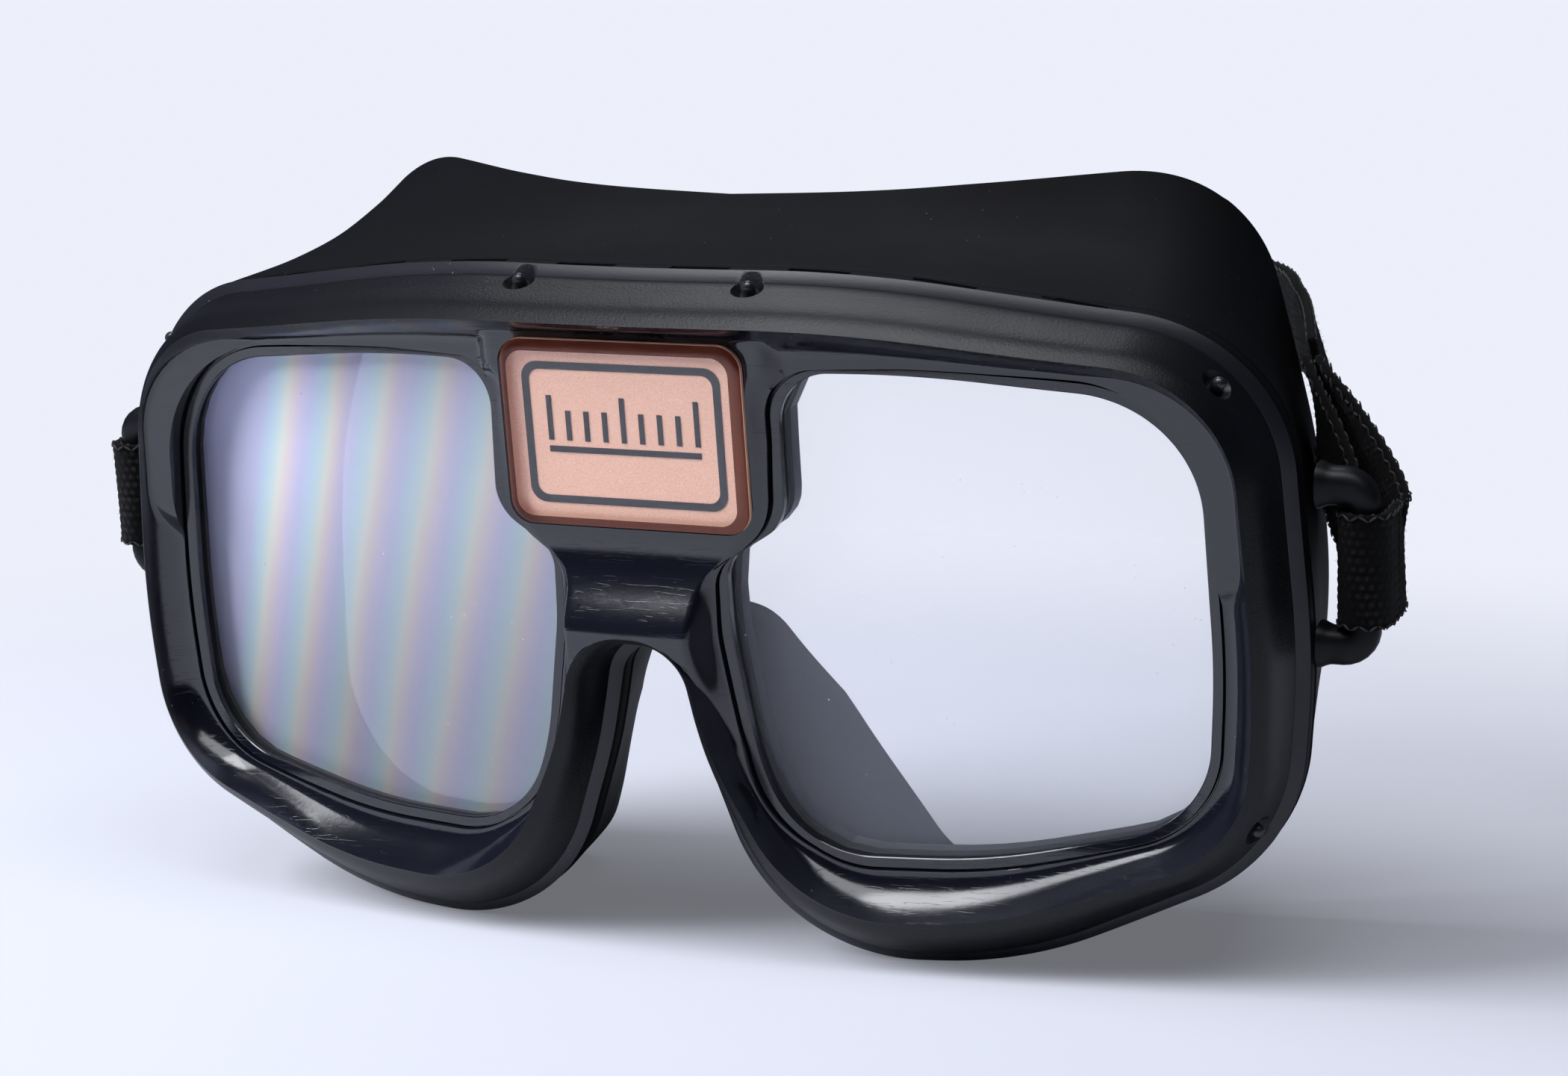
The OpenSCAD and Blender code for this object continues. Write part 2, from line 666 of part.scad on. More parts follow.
// Webbing: a flat band along a path, its width upright or leaning inward
function tangent_at(p, i) = unit(p[min(i + 1, len(p) - 1)] - p[max(i - 1, 0)]);
function up_at(t, lean = 0) = let (u = [-sin(lean), 0, cos(lean)]) unit(u - (u * t) * t);
module band(path, w, t, lean_a = 0, lean_b = 0) {
    n = len(path);
    pts = [
        for (i = [0:n - 1])
            let (d = tangent_at(path, i), u = up_at(d, mix(lean_a, lean_b, i / (n - 1))), s = cross(d, u))
            each [
                path[i] + u * w / 2 + s * t / 2, path[i] + u * w / 2 - s * t / 2,
                path[i] - u * w / 2 - s * t / 2, path[i] - u * w / 2 + s * t / 2
            ]
    ];
    sides = [
        for (i = [0:n - 2]) for (k = [0:3])
            each quad(4 * i + k, 4 * i + (k + 1) % 4, 4 * i + 4 + (k + 1) % 4, 4 * i + 4 + k)
    ];
    e = 4 * (n - 1);
    polyhedron(points = pts, faces = concat(sides, quad(3, 2, 1, 0), quad(e, e + 1, e + 2, e + 3)), convexity = 6);
}
// A smooth run between two points with a direction at each end
function curve(a, b, c, d, t) =
    a * pow(1 - t, 3) + 3 * b * t * pow(1 - t, 2) + 3 * c * t * t * (1 - t) + d * pow(t, 3);
wrap_gap = 0.55;
wrap_bend_r = bar_r + wrap_gap + web_t / 2;
wrap_tail = 3;
// The two layers join beside the mask's edge, and the straight side starts
// behind its temple corner
join_out = 0.9;
join_ahead = 8.5;
join_up = 17.5;
join = [temple_half_w + join_out, mask_side_y - join_ahead, bar_z + join_up];
side_in = 18.5;
side_behind = 21;
side_up = 21.1;
side_start = [temple_half_w - side_in, mask_temple_y + side_behind, bar_z + side_up];
side_run = unit([-0.68, 0.73, -0.02]);
side_l = 28;
side_end = side_start + side_run * side_l;
rear_drop = 2;
rear_mid = [0, strap_back_y, side_end[2] - rear_drop];
layer_gap = (web_t + web_gap) / 2;
module wrap_bend() {
    bend = [for (a = [180:20:360]) bar_at + wrap_bend_r * [cos(a), sin(a), 0]];
    first = bar_at + [-wrap_bend_r, wrap_tail, 0];
    last = bar_at + [wrap_bend_r, wrap_tail, 0];
    band(concat([first], bend, [last]), web_w, web_t);
}
join_lean = 10;
rim_lean = 20;
leg_straight = 2.5;
// How far each curve of the leg keeps its direction at its two ends
layer_out = 6;
layer_in = 7.7;
bend_out = 9.6;
bend_in = 18;
module leg_layer(side) {
    start = bar_at + [side * wrap_bend_r, wrap_tail + web_gap, 0];
    end = join + [side * layer_gap, 0, 0];
    bent = start + [0, leg_straight, 0];
    from = bent + [0, layer_out, 0];
    to = end - unit([-0.2, 0.78, 0.6]) * layer_in;
    path = concat([start], [for (t = [0:0.2:1]) curve(bent, from, to, end, t)]);
    band(path, web_w, web_t, 0, join_lean);
}
module one_leg() {
    leg_layer(-1);
    leg_layer(1);
    run = unit([-0.23, 0.89, 0.4]);
    start = join + run * (web_t - web_gap / 2);
    end = side_start - side_run * (web_gap + sheet_gap);
    from = start + run * bend_out;
    to = end - unit([-0.77, 0.64, -0.06]) * bend_in;
    path = [for (t = [0:0.1:1]) curve(start, from, to, end, t)];
    band([for (i = [0:5]) path[i]], web_w, web_t, join_lean, rim_lean);
    band([for (i = [5:10]) path[i]], web_w, web_t, rim_lean, 0);
}
module strap_wrap_right() {
    color([0.09, 0.09, 0.1]) wrap_bend();
}
module strap_wrap_left() {
    color([0.09, 0.09, 0.1]) other_side() wrap_bend();
}
module strap_leg_right() {
    color([0.1, 0.1, 0.11]) one_leg();
}
module strap_leg_left() {
    color([0.1, 0.1, 0.11]) other_side() one_leg();
}
module one_side() {
    band([side_start, side_end], web_w, web_t);
}
module strap_side_right() {
    color([0.09, 0.09, 0.1]) one_side();
}
module strap_side_left() {
    color([0.09, 0.09, 0.1]) other_side() one_side();
}
// Frame at a place on the straight side: x along the webbing, z across it
module on_side(s) {
    u = up_at(side_run);
    n = cross(side_run, u);
    p = side_start + side_run * s;
    multmatrix([
        [side_run[0], n[0], u[0], p[0]],
        [side_run[1], n[1], u[1], p[1]],
        [side_run[2], n[2], u[2], p[2]]
    ])
        children();
}
// Sewn ends: a short stitched patch on the outer face of the webbing
tack_l = 2.4;
tack_t = 0.5;
tack_in = 1.5;
module one_tack() {
    on_side(side_l - tack_l)
        translate([0, (web_t + tack_t) / 2, 0])
            cube([tack_l, tack_t, web_w - 2 * tack_in], center = true);
}
module bar_tacks() {
    color([0.15, 0.15, 0.16]) {
        one_tack();
        other_side() one_tack();
    }
}
// Strap slider: a frame that the webbing threads, open on both faces
slider_start = 2;
slider_rail = 1.8;
module one_slider() {
    on_side(slider_start + slider_l / 2) difference() {
        cube([slider_l, slider_t, slider_w], center = true);
        cube([slider_l + 2, web_t + 2 * sheet_gap, web_w + 2 * web_gap], center = true);
        for (s = [-1, 1])
            translate([s * (slider_l - slider_rail) / 4, 0, 0])
                cube([(slider_l - 3 * slider_rail) / 2, slider_t + 2, web_w - 1], center = true);
    }
}
module slider_right() {
    color([0.1, 0.1, 0.1]) one_slider();
}
module slider_left() {
    color([0.1, 0.1, 0.1]) other_side() one_slider();
}
// The elastic and the rear strap share one curve round the back of the head
rear_sweep = 14;
rear_flat = 22;
function rear_curve(t) =
    curve(side_end, side_end + side_run * rear_sweep, rear_mid + [rear_flat, 0, 0], rear_mid, t);
elastic_end = 0.34;
module one_elastic() {
    band([for (t = [0.01:0.055:elastic_end]) rear_curve(t)], web_w, web_t);
}
module strap_elastic_right() {
    color([0.1, 0.1, 0.11]) one_elastic();
}
module strap_elastic_left() {
    color([0.1, 0.1, 0.11]) other_side() one_elastic();
}
rear_half = [for (t = [elastic_end + 0.01:0.065:1.01]) rear_curve(min(t, 1))];
rear_path = concat(
    rear_half,
    [for (i = [len(rear_half) - 2:-1:0]) [-rear_half[i][0], rear_half[i][1], rear_half[i][2]]]
);
module strap_rear() {
    color([0.09, 0.09, 0.1]) band(rear_path, web_w, web_t);
}

// Stance: tipped forward until the lobes and the mask's cheeks share a floor
lean = 6.8;
function tipped(p) = [p[0], p[1] * cos(lean) - p[2] * sin(lean), p[1] * sin(lean) + p[2] * cos(lean)];
low_points = [for (p = concat(banded(flared(1, 0), 1, lip_back), edge_row(0, 0))) tipped(p)[2]];
front_points = [for (p = fronts(ridge, 0)) tipped(p)[1]];
floor_z = min(low_points);
middle_y = (min(front_points) + tipped(rear_mid + [0, web_t / 2, -web_w / 2])[1]) / 2;
module stance() {
    translate([0, -middle_y, -floor_z])
        rotate([lean, 0, 0])
            children();
}

stance() bezel();
stance() bezel_pins();
stance() lens_left();
stance() lens_right();
stance() film_left();
stance() film_right();
stance() gasket_left();
stance() gasket_right();
stance() lens_retainer();
stance() badge_plate();
stance() badge_print();
stance() badge_dome();
stance() face_mask();
stance() strap_loop_left();
stance() strap_loop_right();
stance() strap_wrap_left();
stance() strap_wrap_right();
stance() strap_leg_left();
stance() strap_leg_right();
stance() strap_side_left();
stance() strap_side_right();
stance() bar_tacks();
stance() slider_left();
stance() slider_right();
stance() strap_elastic_left();
stance() strap_elastic_right();
stance() strap_rear();
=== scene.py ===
import math

import bpy
import numpy as np
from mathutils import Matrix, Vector


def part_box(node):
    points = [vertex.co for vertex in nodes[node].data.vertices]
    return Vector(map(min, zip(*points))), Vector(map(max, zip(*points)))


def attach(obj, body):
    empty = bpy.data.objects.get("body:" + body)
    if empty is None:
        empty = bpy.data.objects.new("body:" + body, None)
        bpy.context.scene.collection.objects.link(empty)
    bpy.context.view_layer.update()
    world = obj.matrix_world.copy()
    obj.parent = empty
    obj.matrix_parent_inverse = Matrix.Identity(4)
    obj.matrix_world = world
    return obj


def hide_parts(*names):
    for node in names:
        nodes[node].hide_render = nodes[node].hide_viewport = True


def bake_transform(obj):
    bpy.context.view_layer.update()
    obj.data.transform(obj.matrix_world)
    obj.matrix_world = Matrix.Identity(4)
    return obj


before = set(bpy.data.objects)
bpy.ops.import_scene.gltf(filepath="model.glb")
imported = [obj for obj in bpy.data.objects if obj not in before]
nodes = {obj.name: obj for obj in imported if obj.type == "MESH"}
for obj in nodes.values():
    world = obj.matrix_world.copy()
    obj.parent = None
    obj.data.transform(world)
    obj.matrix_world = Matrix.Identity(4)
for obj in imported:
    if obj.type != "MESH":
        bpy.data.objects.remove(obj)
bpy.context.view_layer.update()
print("stage: frame loaded")

# The goggles are drawn upright in millimetres, from the badge, and then stood as the solids stand
stance = {"lean": 6.8, "badgeTilt": 3.0, "badgeSeat": 1.55, "plateMiddle": -0.42}
lean = math.radians(stance["lean"])


def leaned(points):
    p = np.atleast_2d(np.asarray(points, float))
    c, s = math.cos(lean), math.sin(lean)
    return np.stack([p[:, 0], p[:, 1] * c - p[:, 2] * s, p[:, 1] * s + p[:, 2] * c], 1)


plateLow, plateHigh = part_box("badge_plate")
badgeTilt = math.radians(stance["badgeTilt"])
plateMiddle = stance["plateMiddle"]
plateCentre = [0, stance["badgeSeat"] + plateMiddle * math.cos(badgeTilt), plateMiddle * math.sin(badgeTilt)]
standOffset = np.array((plateLow + plateHigh) / 2) - leaned(plateCentre)[0] / 1000


def stand(points):
    return leaned(points) / 1000 + standOffset


def mix(a, b, t):
    return a + (b - a) * t


def smooth(t):
    t = np.clip(t, 0, 1)
    return t * t * (3 - 2 * t)


def unit(v):
    v = np.asarray(v, float)
    return v / np.linalg.norm(v)


def linked(name, data):
    obj = bpy.data.objects.new(name, data)
    bpy.context.scene.collection.objects.link(obj)
    return obj


# Outlines: corners of x, z and radius, walked in equal numbers of steps from corner to corner
rim = {
    "halfWidth": 80.6, "browZ": 15.1, "lobeZ": 63.7, "archZ": 26.3, "archHalf": 7.9,
    "browR": 18, "cheekR": 16, "lobeR": 20, "wrapR": 267, "bowR": 870,
    "bandDepth": 9.2, "lipWidth": 1.5, "lipBack": 1.1, "dishSide": 6.4, "dishBrow": 6.7, "dishLobe": 7.5,
    "lensSet": 6.0, "seatAngle": 0.92, "seatDrop": 0.95, "lensLap": 2.0, "faceY": -3.1,
    "faceTilt": 0.011, "sideZ": -30,
    "flares": [5.5, 5.5, 4.6, 4.5, 5.2, 7.9, 7.6, 4.9, 3.9, 3.9],
    "bandDepths": [9.2, 9.2, 9.2, 8.9, 6.5, 6.5, 6.5, 7.2, 8.8, 9.2],
    "strip": 1.35, "groove": 0.42, "grooveDeep": 0.5, "dishFloor": 5.35, "dishCurve": 1.9, "dishRows": 26,
    "bridgeHalf": 20.6, "wallReach": 2.25, "rollWidth": 2.8, "legRamp": 19,
    "steps": [7, 11, 9, 5, 8, 6, 6, 4, 2, 2, 2, 6, 2], "fine": 5,
}
sides = (("left", -1), ("right", 1))
badgeSize = {"width": 34, "height": 25, "radius": 3.2, "gap": 0.3}
rimLegs = 9


def ridgeCorners():
    r = rim
    w, b, low, a, h = r["halfWidth"], r["browZ"], r["lobeZ"], r["archZ"], r["archHalf"]
    return [
        [0, b, 0], [30, b, 200], [w - 2.9, b - 6.3, r["browR"]], [w, r["sideZ"], 120],
        [w - 1.8, 11.3 - low, r["cheekR"]], [47, 0.9 - low, 60], [22, -low, r["lobeR"]],
        [h + 3, -41.5, 50], [h - 0.5, 0.3 - a, 8.4], [0, -a, 0], [0, 3.7 - a, 0], [0, -13, 0],
        [0, badgeSize["height"] / 2 + badgeSize["gap"], 0],
    ]


def eyeCorners():
    r = rim
    w, h = r["halfWidth"] - r["dishSide"], r["archHalf"]
    top, low = r["browZ"] - r["dishBrow"], r["dishLobe"] - r["lobeZ"]
    notchLow, notchHigh = np.array([h + 4.5, -16.6]), np.array([r["bridgeHalf"] + 0.1, -11.4])
    middle = (notchLow + notchHigh) / 2
    return [
        [r["bridgeHalf"] - 0.1, top, 6.5], [38, top + 0.1, 150], [w - 1.6, top - 3.9, 17], [w, r["sideZ"], 120],
        [w - 1.2, low + 5.6, 13], [45, low + 0.2, 80], [20.5, low - 0.2, 14], [h + 7.3, -43, 40],
        [h + 4.7, -26, 30], [*notchLow, 4.5], [*middle, 0], [*notchHigh, 6], [r["bridgeHalf"], -1.5, 0],
    ]


def legs(corners, count, steps):
    c = np.array(corners, float)
    xz, radius, n = c[:, :2], c[:, 2], len(c)
    back = [unit(xz[i - 1] - xz[i]) for i in range(n)]
    ahead = [unit(xz[(i + 1) % n] - xz[i]) for i in range(n)]
    half = [math.acos(float(np.clip(back[i] @ ahead[i], -1, 1))) / 2 for i in range(n)]
    arc = [radius[i] * (math.pi / 2 - half[i]) if radius[i] else 0 for i in range(n)]
    cut = [radius[i] / math.tan(half[i]) if radius[i] else 0 for i in range(n)]

    def onArc(i, s):
        b = unit(back[i] + ahead[i])
        side, turn = unit(ahead[i] - (ahead[i] @ b) * b), s / radius[i]
        middle = xz[i] + b * radius[i] / math.sin(half[i])
        return middle + radius[i] * (side * math.sin(turn) - b * math.cos(turn))

    points = []
    for i in range(count):
        k = (i + 1) % n
        straight = np.linalg.norm(xz[k] - xz[i]) - cut[i] - cut[k]
        length = arc[i] + straight + arc[k]
        for j in range(steps[i]):
            s = j / steps[i] * length
            if s < arc[i]:
                points.append(onArc(i, s))
            elif s > arc[i] + straight and radius[k] > 0:
                points.append(onArc(k, s - length))
            else:
                points.append(xz[i] + ahead[i] * (cut[i] + s - arc[i]))
    return np.array(points)


def eased(values, i, t):
    a, b, c, d = values[max(i - 1, 0)], values[i], values[i + 1], values[min(i + 2, len(values) - 1)]
    return b + t * (c - a) / 2 + t * t * (a - 2.5 * b + 2 * c - d / 2) + t ** 3 * (1.5 * (b - c) + (d - a) / 2)


def perStation(values, steps):
    v = [float(x) for x in values]
    out = [eased(v, i, j / steps[i]) for i in range(rimLegs) for j in range(steps[i])]
    return np.array(out + [v[rimLegs]])


def refined(rows, count):
    out = []
    for i in range(len(rows) - 1):
        out += [eased(rows, i, j / count) for j in range(count)]
    return out + [rows[-1]]


steps = [s * rim["fine"] for s in rim["steps"]]
archStation = sum(steps[:rimLegs])
ridge = legs(ridgeCorners(), len(steps), steps)
eye = legs(eyeCorners(), len(steps), steps)
stations = len(ridge)
onBridge = np.arange(stations) > archStation


def sideways(line):
    t = np.roll(line, -1, 0) - np.roll(line, 1, 0)
    t /= np.maximum(np.linalg.norm(t, axis=1)[:, None], 1e-9)
    return np.stack([-t[:, 1], t[:, 0]], 1)


def outwardOf(line, last):
    out = sideways(line)
    out[0], out[last] = [0, 1], [0, -1]
    return out


normals = outwardOf(ridge, archStation)
normals[onBridge] = 0
flare = np.zeros(stations)
flare[:archStation + 1] = perStation(rim["flares"], steps)
band = np.full(stations, float(rim["bandDepth"]))
band[:archStation + 1] = perStation(rim["bandDepths"], steps)


def sag(x):
    return rim["wrapR"] - np.sqrt(rim["wrapR"] ** 2 - x * x)


def frontY(p):
    return rim["faceY"] + sag(p[:, 0]) + rim["faceTilt"] * p[:, 1] + p[:, 1] ** 2 / (2 * rim["bowR"])


def seatY(p):
    fall = math.tan(math.radians(rim["seatAngle"])) * p[:, 1]
    return rim["faceY"] + rim["lensSet"] + rim["seatDrop"] + sag(p[:, 0]) - fall


def bridgeY(p):
    flat = stance["badgeSeat"] - math.tan(badgeTilt) * p[:, 1]
    low = -badgeSize["height"] / 2 - badgeSize["gap"]
    t = smooth((low - p[:, 1]) / (rim["archZ"] + low)) ** 1.7
    return np.where(p[:, 1] > low, flat, mix(flat, frontY(p), t))


def solid(p, y):
    return np.stack([p[:, 0], y, p[:, 1]], 1)


def meshFrom(name, points, faces, materials, faceMaterials=None, values=None, sharp=None):
    mesh = bpy.data.meshes.new(name)
    mesh.from_pydata([tuple(map(float, p)) for p in points], [], faces)
    for m in materials:
        mesh.materials.append(m)
    if faceMaterials is not None:
        mesh.polygons.foreach_set("material_index", faceMaterials)
    if values is not None:
        layer = mesh.attributes.new("knit", "FLOAT", "POINT")
        layer.data.foreach_set("value", np.asarray(values, np.float32))
    mesh.polygons.foreach_set("use_smooth", [True] * len(mesh.polygons))
    mesh.update()
    obj = linked(name, mesh)
    finishMesh(obj, sharp)
    return obj


def finishMesh(obj, sharp=None, merge=0.000004):
    import bmesh
    bm = bmesh.new()
    bm.from_mesh(obj.data)
    bmesh.ops.remove_doubles(bm, verts=bm.verts, dist=merge)
    bmesh.ops.dissolve_degenerate(bm, edges=bm.edges, dist=0.000002)
    bmesh.ops.recalc_face_normals(bm, faces=bm.faces)
    if sharp is not None:
        limit = math.radians(sharp)
        for edge in bm.edges:
            if len(edge.link_faces) == 2 and edge.calc_face_angle(0) > limit:
                edge.smooth = False
    bm.to_mesh(obj.data)
    bm.free()
    obj.data.update()


def finished(obj, node, body=None):
    if body:
        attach(obj, body)
    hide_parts(node)


def rowIds(size, count, start=0):
    return [start + np.arange(size) + size * k for k in range(count)]


def gridFaces(ids, closed):
    faces = []
    for a, b in zip(ids[:-1], ids[1:]):
        n = len(a)
        for j in range(n if closed else n - 1):
            k = (j + 1) % n
            quad = [a[j], a[k], b[k], b[j]]
            if len(set(quad)) > 2:
                faces.append(tuple(dict.fromkeys(quad)))
    return faces


# Materials
def material(name, base, rough, metallic=0.0, spec=0.5):
    mat = bpy.data.materials.new(name)
    mat.use_nodes = True
    for key, value in (
        ("Base Color", (*base, 1)), ("Roughness", rough), ("Metallic", metallic), ("Specular IOR Level", spec),
    ):
        principled(mat).inputs[key].default_value = value
    return mat


def link(mat, a, b):
    mat.node_tree.links.new(a, b)


def node(mat, kind, **values):
    made = mat.node_tree.nodes.new("ShaderNode" + kind)
    for key, value in values.items():
        if key in made.inputs.keys():
            made.inputs[key].default_value = value
        else:
            setattr(made, key, value)
    return made


def objectPoint(mat, scale=(1, 1, 1), turn=(0, 0, 0)):
    coord = node(mat, "TexCoord")
    mapping = node(mat, "Mapping", Scale=scale, Rotation=turn)
    link(mat, coord.outputs["Object"], mapping.inputs["Vector"])
    return mapping.outputs["Vector"]


def noise(mat, vector, scale, detail=3.0, rough=0.5, distortion=0.0):
    made = node(mat, "TexNoise", Scale=scale, Detail=detail, Roughness=rough, Distortion=distortion)
    link(mat, vector, made.inputs["Vector"])
    return made.outputs["Fac"]


def ranged(mat, value, low, high, toLow, toHigh, smoothed=False):
    made = node(mat, "MapRange", interpolation_type="SMOOTHSTEP" if smoothed else "LINEAR")
    for key, v in (("From Min", low), ("From Max", high), ("To Min", toLow), ("To Max", toHigh)):
        made.inputs[key].default_value = v
    link(mat, value, made.inputs["Value"])
    return made.outputs["Result"]


def math2(mat, operation, a, b):
    made = node(mat, "Math", operation=operation)
    for i, v in enumerate((a, b)):
        if isinstance(v, (int, float)):
            made.inputs[i].default_value = v
        else:
            link(mat, v, made.inputs[i])
    return made.outputs[0]


def bump(mat, heights, strength=0.3, distance=0.0002):
    made = node(mat, "Bump", Strength=strength, Distance=distance)
    link(mat, heights, made.inputs["Height"])
    return made.outputs["Normal"]


def colourMix(mat, fac, a, b):
    made = node(mat, "Mix", data_type="RGBA")
    for i, v in ((0, fac), (6, a), (7, b)):
        if isinstance(v, (int, float, tuple)):
            made.inputs[i].default_value = (*v, 1) if i else v
        else:
            link(mat, v, made.inputs[i])
    return made.outputs[2]


def principled(mat):
    return mat.node_tree.nodes["Principled BSDF"]


def dustMask(mat, vector, scale, amount):
    cells = node(mat, "TexVoronoi", Scale=scale)
    link(mat, vector, cells.inputs["Vector"])
    spot = ranged(mat, cells.outputs["Distance"], 0.03, 0.09, 1, 0, True)
    some = ranged(mat, noise(mat, vector, scale * 0.23, 1), amount, amount + 0.03, 0, 1)
    return math2(mat, "MULTIPLY", spot, some)


def moulded(name, base, rough, grain, grainScale, roughSpread=0.08, dust=0.62, scratch=0.0, spec=0.5):
    mat = material(name, base, rough, spec=spec)
    shader = principled(mat)
    place = objectPoint(mat)
    height = noise(mat, place, grainScale, 4, 0.6)
    broad = noise(mat, place, 35, 3)
    value = ranged(mat, broad, 0.3, 0.7, rough - roughSpread, rough + roughSpread)
    specks = dustMask(mat, place, 700, dust)
    link(mat, math2(mat, "ADD", value, math2(mat, "MULTIPLY", specks, 0.3)), shader.inputs["Roughness"])
    tint = colourMix(mat, specks, tuple(base), tuple(min(1, c * 6 + 0.06) for c in base))
    link(mat, tint, shader.inputs["Base Color"])
    if scratch:
        streak = noise(mat, objectPoint(mat, (1, 1, 14), (0.3, 0.5, 0.9)), 260, 2, 0.4, 0.6)
        marks = math2(mat, "MULTIPLY", ranged(mat, streak, 0.62, 0.66, 0, 1), scratch)
        height = math2(mat, "ADD", height, marks)
    link(mat, bump(mat, height, grain, 0.00006), shader.inputs["Normal"])
    return mat


rimGloss = moulded("rimGloss", (0.0045, 0.005, 0.009), 0.15, 0.18, 900, 0.05, scratch=0.6, spec=0.8)
rimSatin = moulded("rimSatin", (0.004, 0.004, 0.0055), 0.38, 0.8, 2600, 0.05, spec=0.27)
rimLip = moulded("rimLip", (0.009, 0.009, 0.013), 0.36, 0.25, 2000, 0.04, spec=0.45)
maskRubber = moulded("maskRubber", (0.0035, 0.0035, 0.0045), 0.60, 0.35, 1600, 0.06, 0.6, spec=0.06)
loopRubber = moulded("loopRubber", (0.004, 0.004, 0.0055), 0.45, 0.3, 1500, spec=0.2)
pegPlastic = moulded("pegPlastic", (0.016, 0.016, 0.02), 0.28, 0.2, 1500)
retainerPlastic = moulded("retainerPlastic", (0.012, 0.012, 0.015), 0.5, 0.4, 1500)
gasketRubber = moulded("gasketRubber", (0.02, 0.02, 0.024), 0.6, 0.3, 1500)
sliderPlastic = moulded("sliderPlastic", (0.011, 0.011, 0.013), 0.3, 0.2, 1800)
threadBlack = moulded("threadBlack", (0.03, 0.03, 0.034), 0.8, 0.8, 5000)


def clearMaterial(name, tint, haze, hazeColour, gloss=0.04, shine=0.03):
    mat = bpy.data.materials.new(name)
    mat.use_nodes = True
    mat.node_tree.nodes.clear()
    out = node(mat, "OutputMaterial")
    clear = node(mat, "BsdfTransparent", Color=(*tint, 1))
    veil = node(mat, "BsdfDiffuse", Color=(*hazeColour, 1))
    mirror = node(mat, "BsdfGlossy", Roughness=gloss)
    first = node(mat, "MixShader")
    first.inputs[0].default_value = haze
    second = node(mat, "MixShader")
    second.inputs[0].default_value = shine
    link(mat, clear.outputs[0], first.inputs[1])
    link(mat, veil.outputs[0], first.inputs[2])
    link(mat, first.outputs[0], second.inputs[1])
    link(mat, mirror.outputs[0], second.inputs[2])
    link(mat, second.outputs[0], out.inputs["Surface"])
    return mat, veil, first


lensClear, _, lensMix = clearMaterial("lensClear", (0.997, 0.998, 1.0), 0.01, (0.8, 0.82, 0.88), shine=0.012)
specks = math2(lensClear, "MULTIPLY", dustMask(lensClear, objectPoint(lensClear), 420, 0.6), 0.4)
link(lensClear, math2(lensClear, "ADD", specks, 0.008), lensMix.inputs[0])
filmClear = clearMaterial("filmClear", (0.995, 0.996, 1.0), 0.06, (0.78, 0.83, 1.0), 0.2, 0.01)[0]

# The left film scatters the light into slanted pastel bands; their brightness is painted light, brighter
# towards the outer edge and the top, with painted shade darkening them towards the foot
bands = {
    "left": -0.078, "right": -0.004, "slant": -0.26, "wobble": 0.004, "count": 8.6, "tint": 0.85,
    "veil": 0.68, "foot": 0.020, "top": 0.085, "paintedFootShade": 0.42,
}
filmBands, bandVeil = clearMaterial(
    "filmBands", (0.92, 0.94, 1), bands["veil"], (0.8, 0.8, 0.85), 0.2, 0.012,
)[:2]
split = node(filmBands, "SeparateXYZ")
link(filmBands, objectPoint(filmBands), split.inputs[0])
slant = math2(filmBands, "MULTIPLY", split.outputs["Z"], bands["slant"])
slant = math2(filmBands, "ADD", split.outputs["X"], slant)
wobble = noise(filmBands, objectPoint(filmBands, (0.8, 1, 0.22)), 45, 2)
wobble = math2(filmBands, "MULTIPLY", wobble, bands["wobble"])
across = ranged(filmBands, math2(filmBands, "ADD", slant, wobble), bands["left"], bands["right"], 0, 1)
turns = math2(filmBands, "FRACT", math2(filmBands, "MULTIPLY", across, bands["count"]), 0)
spectrum = node(filmBands, "ValToRGB")
spectrumStops = [
    (0.0, (0.72, 0.72, 1.0)), (0.18, (0.66, 0.84, 1.0)), (0.36, (0.74, 0.95, 0.94)), (0.50, (0.98, 0.98, 0.82)),
    (0.64, (1.0, 0.84, 0.80)), (0.82, (0.84, 0.74, 0.96)), (1.0, (0.72, 0.72, 1.0)),
]
# Painted light: the bands are brightest at the film's outer edge and dim across it
paintedLightAcross = node(filmBands, "ValToRGB")
paintedLightStops = [(0.0, 1.0), (0.06, 1.0), (0.18, 0.80), (0.32, 0.62), (0.55, 0.60), (0.8, 0.55), (1.0, 0.50)]
for ramp, stops in ((spectrum, spectrumStops), (paintedLightAcross, [(at, (v, v, v)) for at, v in paintedLightStops])):
    for k, (at, colour) in enumerate(stops):
        stop = ramp.color_ramp.elements[k] if k < 2 else ramp.color_ramp.elements.new(at)
        stop.position = at
        stop.color = (*colour, 1)
link(filmBands, turns, spectrum.inputs[0])
link(filmBands, across, paintedLightAcross.inputs[0])
pastel = colourMix(filmBands, bands["tint"], (0.82, 0.85, 1.0), spectrum.outputs[0])
# Painted shade: the bands darken towards the film's foot
height = ranged(filmBands, split.outputs["Z"], bands["foot"], bands["top"], bands["paintedFootShade"], 1.0, True)
shade = math2(filmBands, "MULTIPLY", paintedLightAcross.outputs[0], height)
# The painted light and shade mix the band colour towards near black
painted = colourMix(filmBands, shade, (0.02, 0.02, 0.03), pastel)
link(filmBands, painted, bandVeil.inputs["Color"])
print("stage: materials")


# Rim
def softMin(a, b, k):
    h = np.clip(0.5 + 0.5 * (b - a) / k, 0, 1)
    return mix(b, a, h) - k * h * (1 - h)


def applied(obj, modifier):
    made = bpy.data.meshes.new_from_object(obj.evaluated_get(bpy.context.evaluated_depsgraph_get()))
    obj.modifiers.remove(modifier)
    old = obj.data
    obj.data = made
    bpy.data.meshes.remove(old)
    made.name = obj.name


def carved(obj, cutter):
    cut = obj.modifiers.new("cut", "BOOLEAN")
    cut.operation, cut.solver, cut.object = "DIFFERENCE", "EXACT", cutter
    applied(obj, cut)
    bpy.data.objects.remove(cutter)


